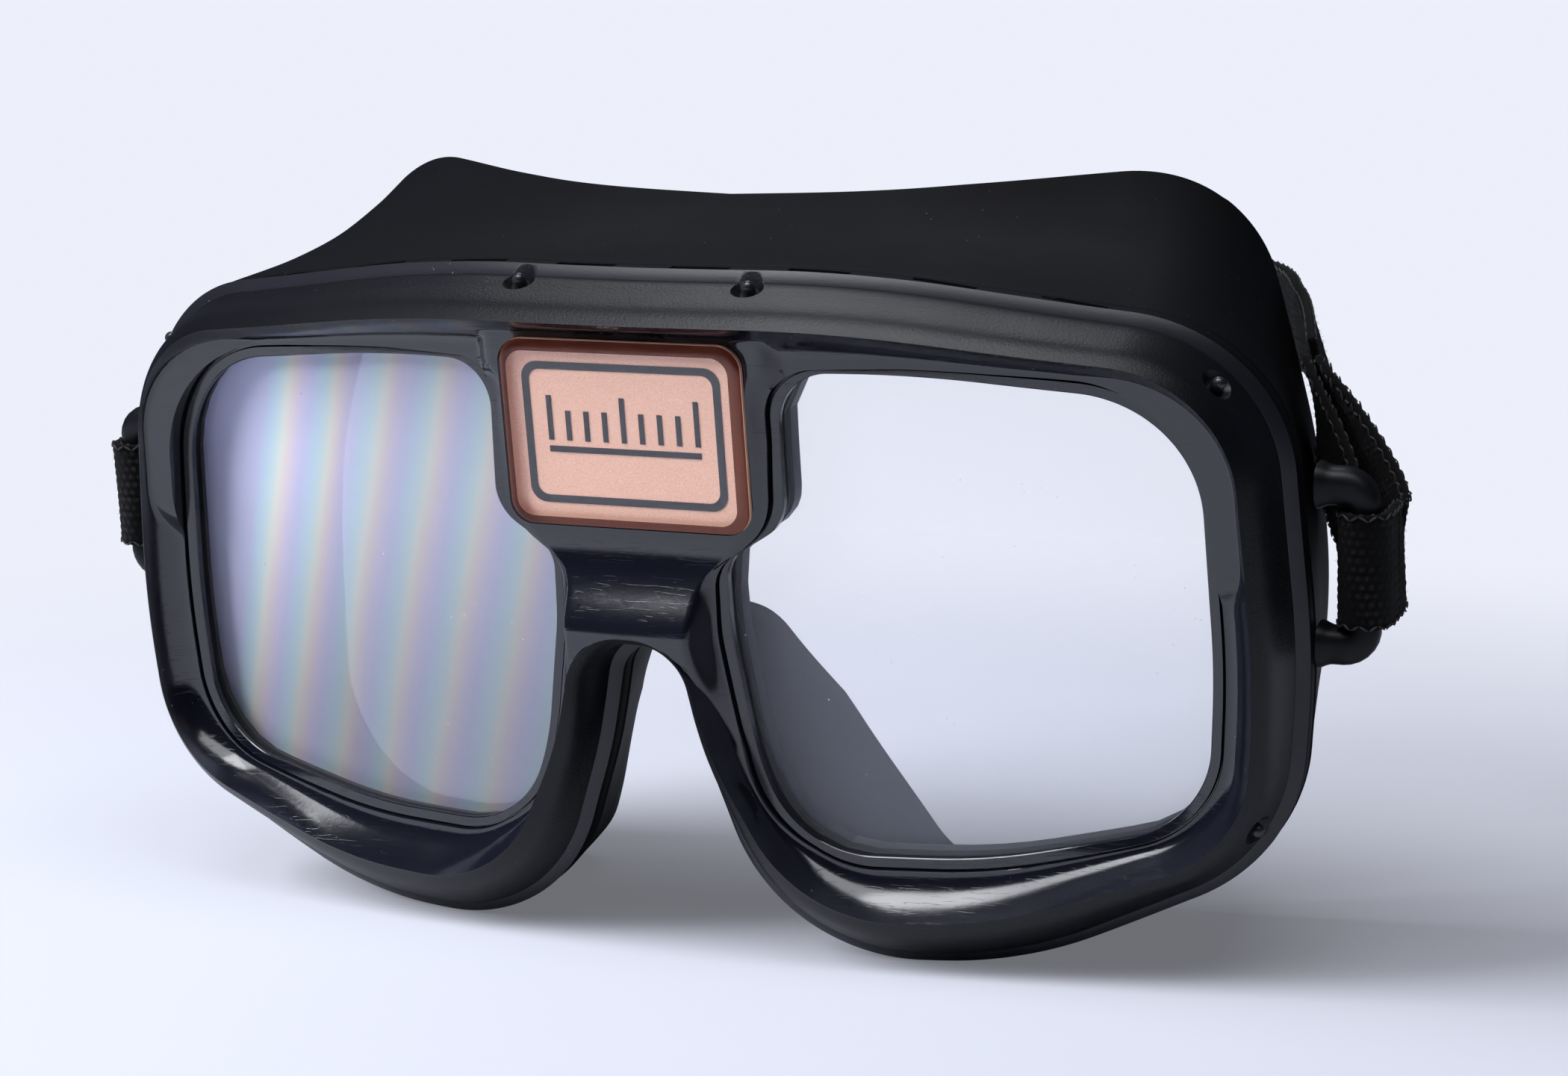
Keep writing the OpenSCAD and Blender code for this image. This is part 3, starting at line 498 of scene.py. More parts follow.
def rimMesh():
    r = rim
    toRidge = ridge - eye
    length = np.linalg.norm(toRidge, axis=1)
    edge = r["strip"] + r["groove"]
    yEdge = frontY(eye) + r["dishFloor"]
    rows, tags = [], []

    def addRow(p, y, tag):
        rows.append(solid(p, y))
        tags.append(tag)

    def fromEye(e):
        return eye + toRidge * (np.minimum(e, length * 0.9) / length)[:, None]

    def dishY(p, e, d):
        face = frontY(p)
        x, z = np.abs(p[:, 0]), p[:, 1]
        u = np.clip(d / np.maximum(d + e - edge, 0.01), 0, 1)
        bowl = r["dishFloor"] * (1 - (1 - u) ** r["dishCurve"])
        limit = bridgeY(p) - face + r["lensSet"] * smooth((-r["archZ"] - z) / r["legRamp"])
        wall = limit * smooth((r["browZ"] - z) / r["wallReach"])
        centre = smooth((r["bridgeHalf"] + 6 - x) / 8) * smooth((z + 4) / 8)
        depth = mix(bowl, -softMin(-bowl, -wall, 0.4), centre)
        depth = softMin(depth, limit + 8 * np.clip((x - r["bridgeHalf"] + 1.6) / 4, 0, 1) ** 2, 0.4)
        depth = np.where(onBridge, wall, depth)
        near = smooth((r["bridgeHalf"] + 4 - x) / 8)
        roll = smooth((e - edge) / r["rollWidth"])
        return face + mix(r["dishFloor"], depth, 1 - near * (1 - roll))

    # Eye wall, strip and groove round the lens
    strip, groove, floor = r["strip"], r["groove"], frontY(eye) + r["lensSet"]
    deep = floor + r["grooveDeep"]
    addRow(eye, seatY(eye), "gloss")
    for e, y in (
        (0, floor + 0.12), (0.12, floor), (strip * 0.5, floor - 0.06), (strip, floor - 0.1),
        (strip + groove * 0.35, deep), (strip + groove * 0.75, deep), (strip + groove * 0.9, yEdge + 0.25),
    ):
        addRow(fromEye(e), y, "gloss")
    for k in range(r["dishRows"]):
        e = mix(edge, length, k / r["dishRows"])
        p = eye + toRidge * (e / length)[:, None]
        addRow(p, dishY(p, e, length - e), "gloss")
    front = len(rows)
    addRow(ridge, np.where(onBridge, dishY(ridge, length, 0 * length), frontY(ridge)), "gloss")

    # Outer band, from the crease back to the lip
    def out(amount):
        return ridge + normals * np.reshape(amount, (-1, 1))

    f, lip, depth = flare, r["lipWidth"], band
    lipDepth = depth + r["lipBack"]

    def bandRow(amount, share):
        p = out(amount)
        return solid(p, frontY(p) + depth * share)

    rows += refined([
        solid(out(0.12 + 0 * f), frontY(ridge) + 0.1), bandRow(0.3 * f + 0.2, 0.26),
        bandRow(0.8 * f - 0.8 * lip, 0.72), bandRow(f - lip, 1),
    ], 7)
    tags += ["satin"] * (len(rows) - len(tags))
    for amount, back in (
        (f - lip + 0.12, depth + 0.03), (f - 0.12, lipDepth - 0.08), (f, lipDepth + 0.02),
        (f - 0.06, lipDepth + 0.16), (f - lip - 0.6, lipDepth + 0.2),
    ):
        p = out(amount)
        addRow(p, frontY(p) + back, "lip")
    rows.append(bandRow(0.2 * f - 1.2, 0.5))
    tags.append("satin")
    bandEnd = len(rows)
    span = (r["archZ"] + ridge[:, 1]) / (r["browZ"] + r["archZ"])
    middle = np.stack([0 * span, mix(-r["archZ"] + 0.6, r["browZ"] - 0.6, span)], 1)
    channel = np.where(onBridge[:, None], middle, ridge - normals * 0.6)
    addRow(channel, seatY(channel) - 0.1, "satin")
    flange = mix(eye, ridge, np.where(onBridge, 0.75, 0.5)[:, None])
    addRow(flange, seatY(flange), "satin")
    addRow(eye, seatY(eye), "satin")

    points = np.concatenate(rows)
    ids = rowIds(stations, len(rows))
    tagOf = {"gloss": 0, "satin": 1, "lip": 2}
    faces, kinds = [], []
    for k in range(len(rows) - 1):
        bandZone = front <= k < bandEnd
        last = archStation + 1 if bandZone else stations
        made = gridFaces([ids[k][:last], ids[k + 1][:last]], not bandZone)
        faces += made
        kinds += [tagOf[tags[k + 1]]] * len(made)
    both = np.concatenate([points, points * [-1, 1, 1]])
    faces += [tuple(i + len(points) for i in reversed(face)) for face in faces]
    return meshFrom("rim", stand(both), faces, [rimGloss, rimSatin, rimLip], kinds * 2)


# Conical dimples in the band, one round each peg
dimples = {
    "spots": [
        [16.2, 5.8, 18.9, 0, -0.4, 0.86], [75.3, 13.9, 7.2, 0.62, -0.35, 0.62],
        [79.3, 14.6, -51, 0.82, -0.3, -0.42],
    ],
    "inner": 1.3, "outer": 5.4, "from": -1.0, "height": 4.3, "sides": 40,
}


def coneCutter(mats):
    d = dimples
    points, faces = [], []
    turn = np.linspace(0, 2 * math.pi, d["sides"], endpoint=False)
    for side in (-1, 1):
        for x, y, z, dx, dy, dz in d["spots"]:
            spot, way = np.array([side * x, y, z]), unit([side * dx, dy, dz])
            a = unit(np.cross(way, [0.3, 0.9, 0.1]))
            b = np.cross(way, a)
            start = len(points)
            for radius, reach in ((d["inner"], d["from"]), (d["outer"], d["from"] + d["height"])):
                points += [spot + way * reach + radius * (a * math.cos(t) + b * math.sin(t)) for t in turn]
            near, far = rowIds(d["sides"], 2, start)
            faces += gridFaces([near, far], True) + [tuple(near[::-1]), tuple(far)]
    return meshFrom("cutter", stand(points), faces, mats, [1] * len(faces))


rimPiece = rimMesh()
carved(rimPiece, coneCutter([rimGloss, rimSatin, rimLip]))
finishMesh(rimPiece, 33, merge=0.000002)
finished(rimPiece, "bezel", "goggles")
print("stage: rim", len(rimPiece.data.polygons))


# Lenses and films: sheets wrapped to the seat, trimmed to the eye outline
sheets = {"lens": [0.12, 1.6, 0.3], "film": [2.76, 0.8, 0.9], "rings": 22, "middle": [46, -24]}


def sheetMesh(name, kind, side, mat):
    depth, thick, inset = sheets[kind]
    edge = eye + (rim["lensLap"] - inset) * sideways(eye)
    middle = np.array(sheets["middle"], float)
    rings = [middle + (edge - middle) * (1 - k / sheets["rings"]) for k in range(sheets["rings"])]
    points, faces = [], []
    for back in (0, thick):
        start = sum(len(p) for p in points)
        for ring in rings:
            points.append(solid(ring, seatY(ring) + depth + back))
        centre = middle[None]
        points.append(solid(centre, seatY(centre) + depth + back))
        ids = rowIds(stations, len(rings), start)
        faces += gridFaces(ids, True)
        last = start + stations * len(rings)
        faces += [(ids[-1][j], ids[-1][(j + 1) % stations], last) for j in range(stations)]
    half = stations * len(rings) + 1
    faces += gridFaces([np.arange(stations), half + np.arange(stations)], True)
    points = np.concatenate(points) * [side, 1, 1]
    return meshFrom(name, stand(points), faces, [mat], sharp=40)


for sideName, side in sides:
    lens = sheetMesh("lensSheet_" + sideName, "lens", side, lensClear)
    finished(lens, "lens_" + sideName, "goggles")
    film = sheetMesh("filmSheet_" + sideName, "film", side, filmBands if side < 0 else filmClear)
    finished(film, "film_" + sideName, "goggles")
print("stage: lenses")


# Face mask
mask = {
    "wall": 2.1, "templeHalf": 78.5, "browZ": 25.2, "cheekZ": 74.6, "browY": 38.5, "templeY": 61, "sideY": 57,
    "noseY": 24, "inset": 1.0, "start": 1.4, "browReach": 66, "curl": 0.8, "flangeIn": 0.8, "flangeThick": 1.4,
    "sway": [-1.0, -1.5, -1.5, 0.3, -1, 0, 0.2, 0, 0.4, 0.4],
    "edgeThick": [2.6, 2.6, 2.6, 2.6, 2.6, 2.4, 1.9, 1.7, 2.6, 2.6], "ribs": [0.66, 0.36], "ribDeep": 0.4,
    "slotWide": 8.3, "slotLong": 1.6, "slotPitch": 16.15, "slotBack": 11.1, "slotBelow": 8, "slotAbove": 7,
    "slotFlat": 30, "slotFall": 0.132,
}


def maskCorners():
    m, h = mask, rim["archHalf"]
    w, b, low = m["templeHalf"], m["browZ"], m["cheekZ"]
    return [
        [0, b - 0.6, 0], [32, b + 0.5, 150], [w - 13, b + 0.8, 20], [w, -20, 90], [w - 3, 9.6 - low, 23],
        [52, -low, 40], [28, -low, 15], [h + 7, -43.5, 60], [h - 0.9, -31, 6], [0, -31, 0],
    ]


def maskMesh():
    m = mask
    n = archStation
    corners = maskCorners()
    edge = np.concatenate([legs(corners, rimLegs, steps), [corners[-1][:2]]])
    edgeOut = outwardOf(edge, n)
    edgeY = perStation([
        m["browY"], m["browY"] + 4.5, m["templeY"], m["sideY"], m["sideY"] - 7, m["sideY"] - 11,
        m["sideY"] - 13.5, m["noseY"] + 8, m["noseY"] + 1.5, m["noseY"],
    ], steps)
    temple = steps[0] + steps[1]
    along = ((1 - np.cos(math.pi * np.minimum(1, edge[:temple + 1, 0] / m["browReach"]))) / 2) ** 2
    edgeY[:temple + 1] = mix(m["browY"], m["templeY"], along)
    sway = perStation(m["sway"], steps)
    thick = perStation(m["edgeThick"], steps)
    line, out, f, deep = ridge[:n + 1], normals[:n + 1], flare[:n + 1], band[:n + 1]

    def frontLine(d):
        return line + out * (f - m["inset"] + d)[:, None]

    def frontRow(d, back):
        p = frontLine(np.full(n + 1, float(d)))
        return solid(p, frontY(p) + deep + m["start"] + back)

    def wallRow(w, inward):
        inward = np.full(n + 1, 1.0) * inward
        a, b = frontLine(-inward), edge - edgeOut * inward[:, None]
        ya = frontY(a) + deep + m["start"] + 3.2
        belly = (sway * 4 * w * (1 - w))[:, None]
        share = w - m["curl"] * w * w * (1 - w)
        p = mix(a, b, share) + mix(out, edgeOut, w) * belly
        return solid(p, mix(ya, edgeY, w))

    def edgeRow(inward, back):
        p = edge - edgeOut * (np.full(n + 1, 1.0) * inward)[:, None]
        return solid(p, edgeY + back)

    # The inner wall steps thicker twice on its way to the front
    wall = m["wall"]
    inner = []
    ribA, ribB = m["ribs"]
    for w in (0.85, 0.78, 0.71, ribA + 0.005, ribA - 0.005, 0.58, 0.5, 0.43, ribB + 0.005, ribB - 0.005, 0.3):
        grow = m["ribDeep"] * sum(w < at for at in m["ribs"])
        inner.append(wallRow(w, mix(np.minimum(wall, thick), wall, smooth((0.85 - w) / 0.4)) + grow))
    wallRows = [wallRow(*at) for at in ((0, -0.9), (0.3, -0.5), (0.6, -0.2), (0.85, -0.2))]
    outer = refined(wallRows + [edgeRow(-0.3, 0)], 8)
    rolled = ((0, 0), (0.14, 0.9), (0.38, 1.3), (0.7, 1.1), (1, 0.2))
    lip = refined([edgeRow(-0.3 + (thick + 0.3) * share, back) for share, back in rolled], 4)
    groove = [frontRow(*at) for at in ((0.82, 2.55), (0.6, 2.7), (0.6, 2.95), (0.84, 3.1))]
    head = [frontRow(*at) for at in ((0, 0), (0.75, 0.15), (0.88, 0.5), (0.88, 1.4))]
    flangeLine = line - out * m["flangeIn"]
    flangeY = frontY(flangeLine) + deep + m["start"]
    flange = [solid(flangeLine, flangeY + back) for back in (m["flangeThick"], 0)]
    rows = head + groove + outer + lip[1:] + inner + [frontRow(-wall - 0.4, m["flangeThick"] + 0.5)] + flange
    rings = [np.concatenate([row, (row[n - 1:0:-1]) * [-1, 1, 1]]) for row in rows]
    ids = rowIds(len(rings[0]), len(rings))
    return meshFrom("faceMask", stand(np.concatenate(rings)), gridFaces(ids + [ids[0]], True), [maskRubber])


def slotCutter():
    m = mask
    points, faces = [], []
    corners = [(-1, 0, 0), (1, 0, 0), (1, 1, 0), (-1, 1, 0), (-1, 0, 1), (1, 0, 1), (1, 1, 1), (-1, 1, 1)]
    quads = [(0, 3, 2, 1), (4, 5, 6, 7), (0, 1, 5, 4), (1, 2, 6, 5), (2, 3, 7, 6), (3, 0, 4, 7)]
    for side in (-1, 1):
        for k in range(4):
            x = side * m["slotPitch"] * (k + 0.5)
            z = rim["browZ"] + rim["flares"][0] - 1.2 - max(0, abs(x) - m["slotFlat"]) * m["slotFall"]
            y = frontY(np.array([[x, z]]))[0] + m["slotBack"]
            start = len(points)
            low, tall = z - m["slotBelow"], m["slotBelow"] + m["slotAbove"]
            wide = m["slotWide"] / 2
            points += [(x + a * wide, y + b * m["slotLong"], low + c * tall) for a, b, c in corners]
            faces += [tuple(start + i for i in quad) for quad in quads]
    return meshFrom("cutter", stand(points), faces, [maskRubber])


maskPiece = maskMesh()
carved(maskPiece, slotCutter())
finishMesh(maskPiece, 35, merge=0.000002)
finished(maskPiece, "face_mask", "goggles")
print("stage: mask", len(maskPiece.data.polygons))


# Badge
copper = material("badgeCopper", (0.95, 0.62, 0.48), 0.45, metallic=0.12)
place = objectPoint(copper)
flake = noise(copper, place, 5200, 2, 0.7)
broad = noise(copper, place, 90, 2)
tone = colourMix(copper, ranged(copper, flake, 0.35, 0.65, 0, 1), (0.68, 0.38, 0.275), (0.82, 0.495, 0.375))
shader = principled(copper)
link(copper, tone, shader.inputs["Base Color"])
link(copper, ranged(copper, broad, 0.3, 0.7, 0.36, 0.5), shader.inputs["Roughness"])
link(copper, bump(copper, flake, 0.25, 0.00004), shader.inputs["Normal"])
ink = material("badgeInk", (0.012, 0.011, 0.016), 0.3)
resin = clearMaterial("badgeResin", (1, 1, 1), 0.0, (0.8, 0.6, 0.5), 0.06)[0]
# The bevel's dark brown tint is painted shade and reflection, standing in for the dark refraction at the dome's
# edge
paintedBevelShade = clearMaterial("badgePaintedBevelShade", (0.22, 0.12, 0.10), 0.0, (0.3, 0.16, 0.12), 0.08)[0]

dome = {"thick": 0.9, "bevel": 1.6, "back": 0.94, "rings": 10, "cornerSteps": 10}


def roundedOutline(w, h, r, cornerSteps):
    points = []
    for quarter, (right, top) in enumerate(((1, 1), (-1, 1), (-1, -1), (1, -1))):
        for k in range(cornerSteps + 1):
            a = math.radians(90 * quarter + 90 * k / cornerSteps)
            points.append([right * (w / 2 - r) + r * math.cos(a), top * (h / 2 - r) + r * math.sin(a)])
    return np.array(points)


def onBadge(p, y):
    c, s = math.cos(badgeTilt), math.sin(badgeTilt)
    y = np.broadcast_to(y, len(p))
    return np.stack([p[:, 0], stance["badgeSeat"] + y * c - p[:, 1] * s, y * s + p[:, 1] * c], 1)


def domeMesh():
    d, b = dome, badgeSize
    rows = []
    back = -d["back"]
    heights = [(0, 0.0), (0, 0.3), (0.05, 0.45)]
    for k in range(1, d["rings"] + 1):
        t = k / d["rings"] * math.pi / 2
        up = 0.45 + (d["thick"] - 0.47) * math.sin(t)
        heights.append((0.05 + (d["bevel"] - 0.05) * (1 - math.cos(t)), up))
    for inset, up in heights:
        wide, tall, radius = b["width"] - 2 * inset, b["height"] - 2 * inset, max(b["radius"] - inset * 0.6, 1)
        rows.append(onBadge(roundedOutline(wide, tall, radius, d["cornerSteps"]), back - up))
    inside = roundedOutline(b["width"] * 0.5, b["height"] * 0.4, 1.5, d["cornerSteps"])
    rows.append(onBadge(inside, back - d["thick"]))
    count = len(rows[0])
    ids = rowIds(count, len(rows))
    faces = gridFaces(ids, True)
    # The bevel and sides take the painted bevel shade
    kinds = [1 if k < len(rows) - 3 else 0 for k in range(len(rows) - 1) for _ in range(count)]
    points = np.concatenate(rows)
    faces.append(tuple(ids[-1]))
    faces.append(tuple(reversed(ids[0])))
    return meshFrom("badgeDome", stand(points), faces, [resin, paintedBevelShade], kinds + [0, 0], sharp=50)


domePiece = domeMesh()
finished(domePiece, "badge_dome", "goggles")
print("stage: badge")


# Loops: a moulded arm above and below, bent round into the bar that holds the webbing
loop = {
    "bar": [90.6, 26, -18.6], "barR": 1.8, "armR": 2.45, "footR": 3.0, "footX": 84.7, "reach": 10.5,
    "bend": 2.7, "square": 2.7, "sides": 28,
}
bar = np.array(loop["bar"], float)


def loopMesh(name, side):
    p = loop
    height, x1 = p["reach"], p["bar"][0]
    path, radii = [], []
    for x in np.linspace(p["footX"], x1 - p["bend"], 7):
        t = (x - p["footX"]) / 1.8
        path.append([x, height])
        radii.append(mix(p["footR"], p["armR"], float(smooth(t))))
    for a in np.radians(np.arange(78, -1, -13)):
        path.append([x1 - p["bend"] + p["bend"] * math.cos(a), height - p["bend"] + p["bend"] * math.sin(a)])
        radii.append(mix(p["barR"], p["armR"], 0.25 + 0.75 * math.sin(a)))
    for z in np.linspace(height - p["bend"] - 0.7, 0.7, 8):
        path.append([x1, z])
        radii.append(p["barR"])
    path = path + [[x, -z] for x, z in reversed(path)]
    radii = radii + radii[::-1]
    path = np.array(path)
    points = []
    for i, (x, z) in enumerate(path):
        d = unit(path[min(i + 1, len(path) - 1)] - path[max(i - 1, 0)])
        for k in range(p["sides"]):
            a = 2 * math.pi * k / p["sides"]
            c, s = math.cos(a), math.sin(a)
            r = radii[i] / (abs(c) ** p["square"] + abs(s) ** p["square"]) ** (1 / p["square"])
            points.append([x - d[1] * r * c, p["bar"][1] + r * s, p["bar"][2] + z + d[0] * r * c])
    ids = rowIds(p["sides"], len(path))
    faces = gridFaces(ids, True) + [tuple(ids[0]), tuple(reversed(ids[-1]))]
    return meshFrom(name, stand(np.array(points) * [side, 1, 1]), faces, [loopRubber], sharp=50)


for sideName, side in sides:
    made = loopMesh("strapLoop_" + sideName, side)
    finished(made, "strap_loop_" + sideName, "goggles")
print("stage: loops")

# Webbing: knitted cells are raised in the mesh, and their height paints light onto the cell tops and shade into
# the valleys, with painted glints from a fine noise
webbing = material("webbing", (0.004, 0.004, 0.005), 0.8, spec=0.12)
shader = principled(webbing)
shader.inputs["Sheen Weight"].default_value = 0.04
shader.inputs["Sheen Roughness"].default_value = 0.4
cell = node(webbing, "Attribute", attribute_name="knit")
# Painted light and shade: cell tops lighter, valleys darker
paintedCellLight = ranged(webbing, cell.outputs["Fac"], 0.3, 1, 0, 1, True)
fuzz = noise(webbing, objectPoint(webbing), 4200, 4, 0.8)
# Painted glints scattered by the fibre noise
paintedGlint = ranged(webbing, fuzz, 0.50, 0.75, 0.25, 1)
link(webbing, bump(webbing, fuzz, 0.9, 0.00025), shader.inputs["Normal"])
paintedCellLight = math2(webbing, "MULTIPLY", paintedCellLight, paintedGlint)
shade = colourMix(webbing, paintedCellLight, (0.0006, 0.0006, 0.001), (0.05, 0.05, 0.058))
link(webbing, shade, shader.inputs["Base Color"])
fibre = material("webbingFibre", (0.014, 0.014, 0.016), 0.7, spec=0.2)
edgeThread = material("webbingThread", (0.022, 0.021, 0.022), 0.6, spec=0.35)

strap = {
    "width": 15, "thick": 1.3, "gap": 0.3, "bendR": 3.0, "tail": 3, "straight": 2.5, "joinLean": 10,
    "rimLean": 20, "stitchLong": 0.0013, "stitchThick": 0.0003, "join": [79.4, 48.5, -1.1],
    "sideStart": [60, 82, 2.5], "sideLength": 28, "backY": 112,
    "elasticEnd": 0.34, "elasticStart": 0.0014, "elasticStop": 0.34 + 0.0046, "rearStart": 0.34 + 0.0056,
    "cellLong": 0.95, "cellWide": 1.15, "cellHigh": 0.22, "grain": 0.33,
}
join, sideStart = np.array(strap["join"], float), np.array(strap["sideStart"], float)
sideRun = unit([-0.68, 0.73, -0.02])
sideEnd = sideStart + sideRun * strap["sideLength"]
rearMiddle = np.array([0, strap["backY"], sideEnd[2] - 2])
random = np.random.default_rng(7)


def bezier(a, b, c, d, t):
    t = np.atleast_1d(t)[:, None]
    return a * (1 - t) ** 3 + 3 * b * t * (1 - t) ** 2 + 3 * c * t * t * (1 - t) + d * t ** 3


def evenly(path, step):
    run = np.concatenate([[0], np.cumsum(np.linalg.norm(np.diff(path, axis=0), axis=1))])
    at = np.linspace(0, run[-1], max(2, int(round(run[-1] / step)) + 1))
    return np.stack([np.interp(at, run, path[:, k]) for k in range(3)], 1), at


# Points that carry a stitch, and the way that each stitch lies
def stitchPoints(name, places, aims, side):
    mesh = bpy.data.meshes.new(name)
    mesh.from_pydata([tuple(map(float, p)) for p in stand(np.array(places) * [side, 1, 1])], [], [])
    aim = mesh.attributes.new("aim", "FLOAT_VECTOR", "POINT")
    ways = leaned(np.array(aims) * [side, 1, 1])
    aim.data.foreach_set("vector", ways.astype(np.float32).ravel())
    return linked(name, mesh)


def socketGroup(name, values):
    tree = bpy.data.node_groups.new(name, "GeometryNodeTree")
    tree.interface.new_socket("Geometry", in_out="INPUT", socket_type="NodeSocketGeometry")
    for label, kind, value in values:
        socket = tree.interface.new_socket(label, in_out="INPUT", socket_type="NodeSocket" + kind)
        if value is not None:
            socket.default_value = value
    tree.interface.new_socket("Geometry", in_out="OUTPUT", socket_type="NodeSocketGeometry")
    given, result = tree.nodes.new("NodeGroupInput"), tree.nodes.new("NodeGroupOutput")
    return tree, given.outputs, result.inputs[0]


# A node with its settings, its plain values and the sockets that run into it
def wired(tree, kind, inputs, **settings):
    made = tree.nodes.new(kind)
    for key, value in settings.items():
        setattr(made, key, value)
    for key, value in inputs.items():
        if isinstance(value, bpy.types.NodeSocket):
            tree.links.new(value, made.inputs[key])
        else:
            made.inputs[key].default_value = value
    return made


# Puts the shape on each point, sized and turned, as plain mesh in the given material
def placed(tree, given, points, shape, turn, length, paintName):
    thick = given["Thickness"]
    size = wired(tree, "ShaderNodeCombineXYZ", {0: thick, 1: thick, 2: length})
    put = wired(tree, "GeometryNodeInstanceOnPoints", {
        "Points": points, "Instance": shape.outputs["Mesh"], "Rotation": turn.outputs["Rotation"],
        "Scale": size.outputs[0],
    })
    real = wired(tree, "GeometryNodeRealizeInstances", {0: put.outputs["Instances"]})
    paint = {"Geometry": real.outputs[0], "Material": given[paintName]}
    return wired(tree, "GeometryNodeSetMaterial", paint).outputs["Geometry"]


def stitchTree():
    tree, given, result = socketGroup("stitches", [
        ("Length", "Float", 0.0011), ("Thickness", "Float", 0.0003), ("Seed", "Int", 4),
        ("Thread", "Material", None),
    ])
    ball = wired(tree, "GeometryNodeMeshUVSphere", {"Segments": 8, "Rings": 6, "Radius": 0.5})
    aim = wired(tree, "GeometryNodeInputNamedAttribute", {"Name": "aim"}, data_type="FLOAT_VECTOR")
    turn = wired(tree, "FunctionNodeAlignRotationToVector", {"Vector": aim.outputs["Attribute"]}, axis="Z")
    spread = {2: 0.85, 3: 1.15, "Seed": given["Seed"]}
    share = wired(tree, "FunctionNodeRandomValue", spread, data_type="FLOAT").outputs[1]
    longer = wired(tree, "ShaderNodeMath", {0: given["Length"], 1: share}, operation="MULTIPLY")
    sewn = placed(tree, given, given["Geometry"], ball, turn, longer.outputs[0], "Thread")
    tree.links.new(sewn, result)
    return tree


def fuzzTree():
    tree, given, result = socketGroup("fuzz", [
        ("Density", "Float", 300000.0), ("Length", "Float", 0.0006), ("Thickness", "Float", 0.00002),
        ("Seed", "Int", 9), ("Fibre", "Material", None),
    ])
    scatter = wired(tree, "GeometryNodeDistributePointsOnFaces", {
        "Mesh": given["Geometry"], "Density": given["Density"], "Seed": given["Seed"],
    })
    hair = wired(tree, "GeometryNodeMeshCone", {
        "Vertices": 3, "Radius Top": 0.3, "Radius Bottom": 1.0, "Depth": 1.0,
    })
    spread = {0: (-1.2, -1.2, 0), 1: (1.2, 1.2, 6.28), "Seed": given["Seed"]}
    tilt = wired(tree, "FunctionNodeRandomValue", spread, data_type="FLOAT_VECTOR").outputs[0]
    turn = {"Rotation": scatter.outputs["Rotation"], "Rotate By": tilt}
    turn = wired(tree, "FunctionNodeRotateRotation", turn, rotation_space="LOCAL")
    both = wired(tree, "GeometryNodeJoinGeometry", {0: given["Geometry"]})
    hairs = placed(tree, given, scatter.outputs["Points"], hair, turn, given["Length"], "Fibre")
    tree.links.new(hairs, both.inputs[0])
    tree.links.new(both.outputs[0], result)
    return tree


def madeBy(obj, tree, **values):
    nodesOf = obj.modifiers.new(tree.name, "NODES")
    nodesOf.node_group = tree
    for item in tree.interface.items_tree:
        if item.item_type == "SOCKET" and item.in_out == "INPUT" and item.name in values:
            nodesOf[item.identifier] = values[item.name]
    applied(obj, nodesOf)
    return obj


stitches, fuzzy = stitchTree(), fuzzTree()


def knit(u, v):
    column = v / strap["cellWide"]
    shift = 0.5 * (np.floor(column) % 2)
    row = u / strap["cellLong"] + shift
    hill = np.abs(np.sin(math.pi * column)) ** 0.7 * np.abs(np.sin(math.pi * row)) ** 0.7
    jitter = 0.75 + 0.25 * np.sin(12.9 * np.floor(column) + 7.3 * np.floor(row))
    return hill * jitter


def bandMesh(name, path, leanA=0, leanB=0, side=1, edges=True):
    path, run = evenly(np.asarray(path, float), strap["grain"])
    n = len(path)
    w, t = strap["width"] / 2, strap["thick"] / 2
    count = int(2 * (w - 0.5) / strap["grain"])
    face = [-w + 0.5 + (2 * w - 1) * k / count for k in range(count + 1)]
    profile = [(-w, 0.0, 0), (-w + 0.12, t * 0.75, 0)] + [(v, t, 1) for v in face] + [(w - 0.12, t * 0.75, 0)]
    profile += [(-x, -y, flat) for x, y, flat in profile]
    v, h, raised = (np.array(x, float) for x in zip(*profile))
    points, heights, places, aims = [], [], [], []
    for i in range(n):
        d = unit(path[min(i + 1, n - 1)] - path[max(i - 1, 0)])
        a = math.radians(mix(leanA, leanB, i / (n - 1)))
        up = np.array([-math.sin(a), 0, math.cos(a)])
        up = unit(up - (up @ d) * d)
        out = np.cross(d, up)
        high = knit(run[i] + np.where(h < 0, 0.4, 0), v) * raised
        sink = h - np.sign(h) * strap["cellHigh"] * (1 - high) * raised
        points.append(path[i] + up * v[:, None] + out * sink[:, None])
        heights.append(high)
        if edges and i % 3 == 1 and i < n - 1:
            for face, end in ((1, 1), (1, -1), (-1, 1), (-1, -1)):
                places.append(path[i] + up * end * (w - 0.35) + out * face * (t - 0.02))
                aims.append(d * 0.9 + up * 0.55 * (1 if (i // 3) % 2 else -1))
    ids = rowIds(len(profile), n)
    faces = gridFaces(ids, True) + [tuple(ids[0]), tuple(reversed(ids[-1]))]
    points = stand(np.concatenate(points) * [side, 1, 1])
    made = meshFrom(name, points, faces, [webbing], values=np.concatenate(heights))
    made = madeBy(made, fuzzy, Fibre=fibre, Seed=int(random.integers(1, 900)))
    if edges:
        sewn = stitchPoints(name + "Edge", places, aims, side)
        madeBy(sewn, stitches, Thread=edgeThread, Length=strap["stitchLong"], Thickness=strap["stitchThick"])
        made = joined(name, [made, sewn])
    return made


def joined(name, objects):
    bpy.ops.object.select_all(action="DESELECT")
    for o in objects:
        o.select_set(True)
    bpy.context.view_layer.objects.active = objects[0]
    bpy.ops.object.join()
    objects[0].name = objects[0].data.name = name
    return objects[0]


def wrapPath():
    angles = np.radians(np.arange(180, 361, 6))
    bend = bar + strap["bendR"] * np.stack([np.cos(angles), np.sin(angles), 0 * angles], 1)
    r, tail = strap["bendR"], strap["tail"]
    return np.concatenate([[bar + [-r, tail, 0]], bend, [bar + [r, tail, 0]]])


